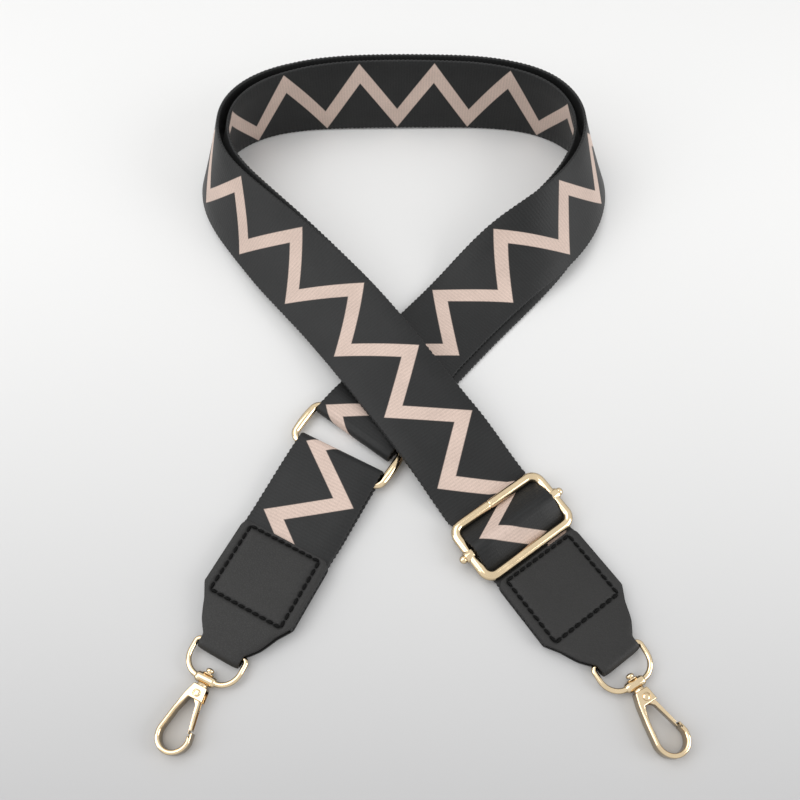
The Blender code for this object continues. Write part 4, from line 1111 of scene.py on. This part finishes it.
def revolved(name, profile, place, origin=(0, 0, 0), axis=(-1, 0, 0), around=40, **settings):
    """Turned piece: radius (cos, sin) about an axis of a place, at each height along it."""
    profile = np.asarray(profile, float)[:, :, None, None]
    axis = np.asarray(axis, float)
    side = unit(np.cross(axis, (0, 0, 1.0) if abs(axis[2]) < 0.9 else (1.0, 0, 0)))
    angle = full_turn(around)[:, None]
    circle = np.cos(angle) * side + np.sin(angle) * np.cross(axis, side)
    rings = np.asarray(origin, float) + profile[:, 1] * axis + profile[:, 0] * circle
    return swept(name, place.world(rings), **settings)


def mirrored(half):
    """Half a profile, and its mirror image from there on."""
    return np.concatenate([half, half[::-1] * (1, -1)])


def round_rim(radius, height, soft):
    """Profile of a round rim: radius - soft (1 - sin angle), height - soft (1 - cos angle)."""
    return np.stack([radius - soft * (1 - np.sin(QUARTER_TURN)),
                     height - soft * (1 - np.cos(QUARTER_TURN))], 1)


def domed(radius, base, height, steps):
    """Profile of a dome: radius sin angle, base + height cos angle."""
    angle = np.linspace(0.03, math.pi / 2, steps)
    return np.stack([radius * np.sin(angle), base + height * np.cos(angle)], 1)


def rimmed_plate(name, outline, thick, edge, place, rim_steps=5):
    """Plate with rounded rims, from an outline in plan and an edge size for each point of it.

    A rim point is outline + inward edge (1 - cos angle), at height half thickness less
    edge (1 - sin angle); the flat faces close it above and below.
    """
    edge = np.broadcast_to(edge, len(outline))[None, :]
    ahead = unit(np.roll(outline, -1, 0) - outline)
    normals = np.stack([-ahead[:, 1], ahead[:, 0]], 1)
    corner = normals + np.roll(normals, 1, 0)
    corner /= np.maximum(np.sum(corner * corner, 1) / 2, 0.35)[:, None]
    angle = np.linspace(0, math.pi / 2, rim_steps + 1)[:, None]
    inward = edge * (1 - np.cos(angle))
    height = thick / 2 - edge * (1 - np.sin(angle))
    offsets = np.concatenate([inward[::-1], inward])
    levels = np.concatenate([-height[::-1], height])
    plan = outline[None] + corner[None] * offsets[..., None]
    rings = place.world(np.concatenate([plan, levels[..., None]], -1))
    return swept(name, rings, smooth_angle=CAST_SHARP)


def prism(place, outline, thick):
    """Plain plate to cut with: the outline in plan, at half the thickness below and above."""
    z = np.array((-thick / 2, thick / 2))[:, None, None]
    plan = np.broadcast_to(outline, (2, *np.shape(outline)))
    return swept("cutter", place.world(np.concatenate([plan, z + 0 * plan[..., :1]], -1)))


def slider_metal():
    """Wire frame of the slider with its butt seam, and its centre bar with barrels and knobs.

    The frame is a tube round its plan, tilted to lie on the webbing; a narrow bell sinks it at
    the seam. The bar is turned: a ball at each end, a barrel with round rims, and the bar.
    """
    kit = bpy.context.scene.strap_webbing
    place = PLACES["slider"]
    side = (kit.width + 0.0008 + SLIDER_WIRE) / 2
    rise = FLOOR_GAP + kit.thickness * 1.5 + GAP - (tab_web_height() - WEB_DIP)
    pitch = math.atan2(rise, 2 * BAR_STEP)
    cos, sin = math.cos(pitch), math.sin(pitch)
    plan = rounded_rectangle(math.hypot(rise, 2 * BAR_STEP) - THICKER, 2 * (side - THICKER),
                             SLIDER_CORNER, 12, 120)
    seam_at, seam_width = 0.0025, 0.00016
    seam = np.exp(-((plan[:, 1] - seam_at) / seam_width) ** 2) * (plan[:, 0] > 0)
    own = plan_tube(plan, (SLIDER_WIRE / 2 + THICKER) * (1 - 0.16 * seam))
    tilted = np.stack([own[..., 0] * cos - own[..., 2] * sin, own[..., 1],
                       own[..., 0] * sin + own[..., 2] * cos], -1)
    put(swept("slider_wire_frame", place.world(tilted), closed=True), "slider", "slider_frame")
    bar, barrel = CENTRE_BAR_WIRE / 2, SLIDER_WIRE / 2 + THICKER + 0.00045
    half, knob, soft, ball_out = 0.0021, 0.0016, 0.0007, 0.0006
    near, end = side - half, side + half
    ball = np.linspace(0.02, math.pi - math.asin(bar / knob), 12)
    profile = np.concatenate([
        np.stack([knob * np.sin(ball), end + ball_out + knob * np.cos(ball)], 1),
        [(bar, end)], round_rim(barrel, end, soft),
        round_rim(barrel, -near, soft)[::-1] * (1, -1), [(bar, near)]])
    obj = revolved("slider_bar", mirrored(profile), place, axis=(0, 1, 0),
                   smooth_angle=math.radians(40))
    put(obj, "slider", "slider_centre_bar")


def ring_metal():
    """Rectangular wire ring with round corners and short sides that swell to their middles.

    The swelling is 1 - (place along the side / half its length) squared.
    """
    kit = bpy.context.scene.strap_webbing
    length = RING_SPACING + RING_DROP
    plan = rounded_rectangle(length, kit.width + 0.0012 + RING_WIRE, RING_CORNER, 14, 60)
    on_side = np.abs(plan[:, 1]) > kit.width / 2
    swell = RING_SWELL * np.clip(1 - (plan[:, 0] / (length / 2)) ** 2, 0, 1) * on_side
    plan[:, 1] += np.sign(plan[:, 1]) * swell
    own = plan_tube(plan, RING_WIRE / 2 + swell)
    own[..., 0] -= length / 2
    put(swept("webbing_ring", PLACES["ring"].world(own), closed=True), "ring", "ring")


def wire_loop(side):
    """Wire loop of a hook: a bar, a flared foot, and a rounded sleeve round the swivel's post.

    The wire swells by 0.3 exp(-(place across / 3.4 mm) to the fourth) towards the sleeve.
    """
    place = PLACES[f"{side}_loop"]
    foot = BAR_TO_BLOCK - LUG_FROM - LUG_THICK / 2
    half, top, low, wire_radius = 0.0102, 0.0016, 0.007, 0.001
    right = [np.linspace((foot, 0), (foot, half - low), 14)[:-1],
             arc((foot - low, half - low), low, np.linspace(0, math.pi / 2, 17)),
             np.linspace((foot - low, half), (top, half), 8)[1:-1],
             arc((top, half - top), top, np.linspace(math.pi / 2, math.pi, 9)),
             np.linspace((0, half - top), (0, 0), 20)[1:]]
    right = np.concatenate(right)
    plan = np.concatenate([right, right[-2:0:-1] * (1, -1)])
    near_post = 0.0034
    near = np.exp(-(plan[:, 1] / near_post) ** 4) * (plan[:, 0] > half / 2)
    own = plan_tube(plan, wire_radius * (1 + 0.3 * near), 24)
    loop = swept("loop", place.world(own), closed=True)
    length, thick, soft, inmost = 0.0042, 0.0018, 0.0015, 0.0004
    end = np.concatenate([[(inmost, length)], round_rim(thick, length, soft)])
    profile = np.concatenate([end, [(thick, 0.0)], end[::-1] * (1, -1)])
    sleeve = revolved("sleeve", profile, place, (foot, 0, 0), (0, 1, 0))
    obj = joined(f"{side}_loop_wire", [loop, sleeve])
    obj.data.shade_smooth()
    put(obj, f"{side}_loop", f"{side}_wire_loop")


def hook_outline():
    """Plan of a hook body: block, tapering arm, bowl and nose, and back along the outside."""
    bowl, radius, wall, soft = np.array((0.0178, 0.0)), 0.0064, 0.0017, 0.0007
    arm_to, nose_to = 0.011, 0.0147
    lip = nose_to + 0.0014
    start = -math.pi / 2 - math.atan2(bowl[0] - arm_to, 8 * radius)
    seat = math.atan2(math.sqrt((radius - wall) ** 2 - (lip - bowl[0]) ** 2), lip - bowl[0])
    tip = radius - (bowl[0] - nose_to) / 4
    shoulder = arc((soft, 0.002), soft, np.linspace(math.pi, math.pi / 2, 6))
    block = [shoulder, np.linspace((0.0012, 0.0028), (0.005, 0.0033), 6), [(0.005, -0.002)]]
    arm_in = np.linspace((0.0062, -0.0024), (0.0105, -0.0036), 8)
    bowl_in = arc(bowl, radius - wall, np.linspace(start, seat, 49))
    nose = [(lip, tip - soft), (nose_to, tip - soft), (nose_to, tip)]
    bowl_out = arc(bowl, radius, np.linspace(math.pi / 2, start, 49))
    arm_out = np.linspace((arm_to, -0.0054), (0.0039, -0.0038), 8)[1:]
    parts = [*block, arm_in, bowl_in, nose, bowl_out, arm_out, (shoulder * (1, -1))[::-1]]
    return np.concatenate([np.asarray(part, float) for part in parts])


def hook_body(side):
    """Cast hook body, slotted for its gate, with its post and collar, rivet, washer and cap.

    Its edges are rounded by the full edge size on the bowl and the arm, and by six tenths of
    it on the block and the nose.
    """
    place, body = PLACES[f"{side}_hook"], f"{side}_hook"
    outline = hook_outline()[::-1]
    x, y = outline.T
    arm_from, arm_over, bowl_from, bowl_over = 0.0062, 0.002, 0.0164, 0.0014
    fuller = np.where(y < 0, (x - arm_from) / arm_over, (x - bowl_from) / bowl_over)
    edge = bpy.context.scene.strap_metal.edge * (0.6 + 0.4 * np.clip(fuller, 0, 1))
    cast = rimmed_plate(f"{side}_hook_cast", outline, HOOK_THICK, edge, place)
    slot = [(0.0009, -0.0019), (0.006, -0.0019), (0.006, 0.0043), (0.0009, 0.0043)]
    rivet, face = (RIVET_AT, RIVET_SIDE, 0), HOOK_THICK / 2
    seat, seat_depth, over = 0.0016, 0.00045, 0.001
    seats = [revolved("cutter", [(seat, face - seat_depth), (seat, face + over)], place, rivet,
                      (0, 0, sign)) for sign in (1, -1)]
    carved(cast, [prism(place, slot, HOOK_THICK - 2 * CHEEK), *seats])
    collar = [(0.0021, -0.0006), (0.0021, 0.0004), (0.0018, 0.0008), (0.0007, 0.0008)]
    post = revolved("post", [*collar, (0.0007, CAP_AT + CAP_BORE)], place,
                    smooth_angle=math.radians(40))
    put(joined(f"{side}_hook_cast", [cast, post]), body, f"{side}_hook_body")
    head = [*domed(0.0013, face - 0.0004, 0.00045, 8), (0.0008, face - 0.00041)]
    obj = revolved(f"{side}_rivet", mirrored(np.array(head)), place, rivet, (0, 0, 1),
                   smooth_angle=math.radians(50))
    put(obj, body, f"{side}_gate_rivet", slot="spring_steel")
    turn = full_turn(16)
    flat = np.stack([0.0015 + 0.0006 * np.cos(turn), WASHER_THICK / 2 * np.sin(turn)], 1)
    obj = revolved(f"{side}_washer", flat, place, (-WASHER_AT, 0, 0), closed=True)
    put(obj, body, f"{side}_swivel_washer")
    cap = [*domed(0.0015, 0.0007, 0.0008, 9), (0.0015, 0.0002), (0.00135, 0.0), (0.001, 0.0),
           (0.001, CAP_BORE), (0.0001, CAP_BORE)]
    obj = revolved(f"{side}_cap", cap, place, (-CAP_AT, 0, 0), smooth_angle=math.radians(50))
    put(obj, body, f"{side}_swivel_cap")


def gate(side):
    """Channel gate folded from sheet round its rivet, its open side outwards.

    Its outline is drawn through its width, and a pocket and the rivet's hole are cut out. The
    gate's spring keeps its CAD shape, and only gets its plating here.
    """
    place = PLACES[f"{side}_gate"]
    width = HOOK_THICK - 2 * CHEEK - 2 * GAP
    eye, sheet, bore = 0.0016, 0.0006, 0.0011
    own = np.array([(0.0059, 0.0029), (0.0143, 0.00485), (0.0064, 0.0016), (0.0155, 0.0041)])
    outer, inner = (own - (RIVET_AT, RIVET_SIDE)).reshape(2, 2, 2)
    along = math.atan2(inner[1][1] - inner[0][1], inner[1][0] - inner[0][0])
    slope = math.tan(along)
    tip = (inner[1][0] - sheet * math.sin(along) / 2, inner[1][1] + sheet * math.cos(along) / 2)
    foot = (outer[1][0], tip[1] - (tip[0] - outer[1][0]) * slope)
    outline = np.concatenate([arc((0, 0), eye, np.radians(np.linspace(110, 300, 25))),
                              [inner[0], inner[1], tip, foot, outer[1], outer[0]]])
    leaf = rimmed_plate(f"{side}_gate_leaf", outline, width, 0.0001, place, rim_steps=2)
    web, end, reach = 0.0056 - RIVET_AT, outer[1][0] - sheet, 2 * eye
    low, high = (inner[0][1] + (x - inner[0][0]) * slope + sheet for x in (web, end))
    pocket = [(-reach, -reach), (web, -reach), (web, low), (end, high), (end, 2 * reach),
              (-reach, 2 * reach)]
    hole = revolved("cutter", [(bore, -width), (bore, width)], place, axis=(0, 0, 1))
    carved(leaf, [prism(place, pocket, width - 2 * sheet), hole])
    put(leaf, f"{side}_gate", f"{side}_gate")
    spring = frame["nodes"][f"{side}_gate_spring"]
    spring.data.materials.clear()
    spring.data.materials.append(material("plated_spring"))


# Stage

def aimed(name, data, place, target):
    """Object for a lamp or a camera, at a place and turned to look at a target."""
    obj = bpy.data.objects.new(name, data)
    bpy.context.scene.collection.objects.link(obj)
    obj.location = place
    obj.rotation_euler = (target - obj.location).to_track_quat("-Z", "Y").to_euler()
    return obj


def stage():
    """Floor, three soft lamps, sky and the camera at the photo's angle.

    The sky lights the strap from dark at the horizon to bright above. The camera and the
    mirrored and refracted rays see an even pale background instead.
    """
    kit = bpy.context.scene.strap_stage
    scene = bpy.context.scene
    corners = [(x * FLOOR_HALF, y * FLOOR_HALF, FLOOR_Z)
               for x, y in ((-1, -1), (1, -1), (1, 1), (-1, 1))]
    floor = new_mesh("floor", corners, [[0, 1, 2, 3]])
    floor.data.materials.append(material("pale_floor"))
    scene.world = bpy.data.worlds.new("sky")
    scene.world.use_nodes = True
    tree = Tree(scene.world.node_tree)
    share = tree.range(tree.split(tree.place("Generated"))[2], 0.05, 0.6, smooth=True)
    lit = tree.shaded(tree.mix(share, (0.09, 0.088, 0.085, 1), (1, 1, 1, 1)), kit.sky)
    ray = tree.node("ShaderNodeLightPath").outputs
    seen = tree.math("MAXIMUM", ray["Is Camera Ray"], ray["Is Glossy Ray"])
    seen = tree.math("MAXIMUM", seen, ray["Is Transmission Ray"])
    tree.fill(scene.world.node_tree.nodes["Background"],
              {0: tree.mix(seen, lit, (0.82, 0.82, 0.82, 1))})
    for name, place, size, share in (("lamp_over", (-0.45, 0.15, 1.0), (0.9, 0.9), 0.68),
                                     ("lamp_left", (-0.9, -0.3, 0.45), (0.5, 0.8), 0.42),
                                     ("lamp_right", (0.9, -0.25, 0.40), (0.5, 0.8), 0.66)):
        lamp = bpy.data.lights.new(name, "AREA")
        lamp.shape = "RECTANGLE"
        lamp.size, lamp.size_y = size
        lamp.energy = kit.lamp * share
        aimed(name, lamp, place, Vector())
    lens = bpy.data.cameras.new("camera")
    lens.lens = 35.88
    lens.sensor_width = 36.0
    lens.clip_start = 0.01
    target = Vector((-0.0017, -0.0153, 0.0))
    away, lift = 0.3386, math.radians(61.8)
    place = target + Vector((0, -away * math.cos(lift), away * math.sin(lift)))
    scene.camera = aimed("camera", lens, place, target)
    scene.view_settings.view_transform = "Standard"


# Operators

class StageOperator(bpy.types.Operator):
    """Lay the floor, hang the lamps and set the camera."""
    bl_idname = "strap.stage"
    bl_label = "Stage"

    def execute(self, context):
        stage()
        return {"FINISHED"}


class MainWebbingOperator(bpy.types.Operator):
    """Make the doubled webbing of the loop."""
    bl_idname = "strap.main_webbing"
    bl_label = "Loop webbing"

    def execute(self, context):
        main_webbing()
        return {"FINISHED"}


class SliderWebbingOperator(bpy.types.Operator):
    """Make the webbing that is laced through the slider, and its folded end."""
    bl_idname = "strap.slider_webbing"
    bl_label = "Laced webbing"

    def execute(self, context):
        slider_webbing()
        return {"FINISHED"}


class ShortWebbingOperator(bpy.types.Operator):
    """Make the short webbing of the left leg."""
    bl_idname = "strap.short_webbing"
    bl_label = "Short webbing"

    def execute(self, context):
        short_webbing()
        return {"FINISHED"}


class TabsOperator(bpy.types.Operator):
    """Make the leather tabs and their stitches."""
    bl_idname = "strap.tabs"
    bl_label = "Leather tabs"

    def execute(self, context):
        for side, plies in (("left", 2), ("right", 1)):
            top = leather_tab(side, plies)
            stitches(side, top)
        return {"FINISHED"}


class SliderOperator(bpy.types.Operator):
    """Make the slider's frame and centre bar."""
    bl_idname = "strap.slider"
    bl_label = "Slider"

    def execute(self, context):
        slider_metal()
        return {"FINISHED"}


class RingOperator(bpy.types.Operator):
    """Make the ring between the two webbings."""
    bl_idname = "strap.ring"
    bl_label = "Ring"

    def execute(self, context):
        ring_metal()
        return {"FINISHED"}


class HooksOperator(bpy.types.Operator):
    """Make the hooks: wire loops, swivels, bodies and gates."""
    bl_idname = "strap.hooks"
    bl_label = "Hooks"

    def execute(self, context):
        for side in SIDES:
            wire_loop(side)
            hook_body(side)
            gate(side)
        return {"FINISHED"}


OPERATORS = (StageOperator, MainWebbingOperator, SliderWebbingOperator, ShortWebbingOperator,
             TabsOperator, SliderOperator, RingOperator, HooksOperator)
GROUPS = {"strap_webbing": StrapWebbing, "strap_leather": StrapLeather,
          "strap_metal": StrapMetal, "strap_stage": StrapStage}


class StrapPanel(bpy.types.Panel):
    """Sizes, colours and makers of the strap's pieces."""
    bl_idname = "VIEW3D_PT_strap"
    bl_label = "Bag strap"
    bl_space_type = "VIEW_3D"
    bl_region_type = "UI"
    bl_category = "Strap"

    def draw(self, context):
        for group in GROUPS:
            box = self.layout.box()
            settings = getattr(context.scene, group)
            for name in settings.__annotations__:
                box.prop(settings, name)
        for operator in OPERATORS:
            self.layout.operator(operator.bl_idname)


def register():
    """Register the settings, operators and panel."""
    for group, kind in GROUPS.items():
        bpy.utils.register_class(kind)
        setattr(bpy.types.Scene, group, PointerProperty(type=kind))
    for kind in (*OPERATORS, StrapPanel):
        bpy.utils.register_class(kind)


def unregister():
    """Take the settings, operators and panel away again."""
    for kind in reversed((*OPERATORS, StrapPanel)):
        bpy.utils.unregister_class(kind)
    for group, kind in GROUPS.items():
        delattr(bpy.types.Scene, group)
        bpy.utils.unregister_class(kind)


def main():
    """Make every piece."""
    register()
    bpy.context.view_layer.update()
    for operator in OPERATORS:
        area, _, name = operator.bl_idname.partition(".")
        getattr(getattr(bpy.ops, area), name)()


if __name__ == "__main__":
    main()
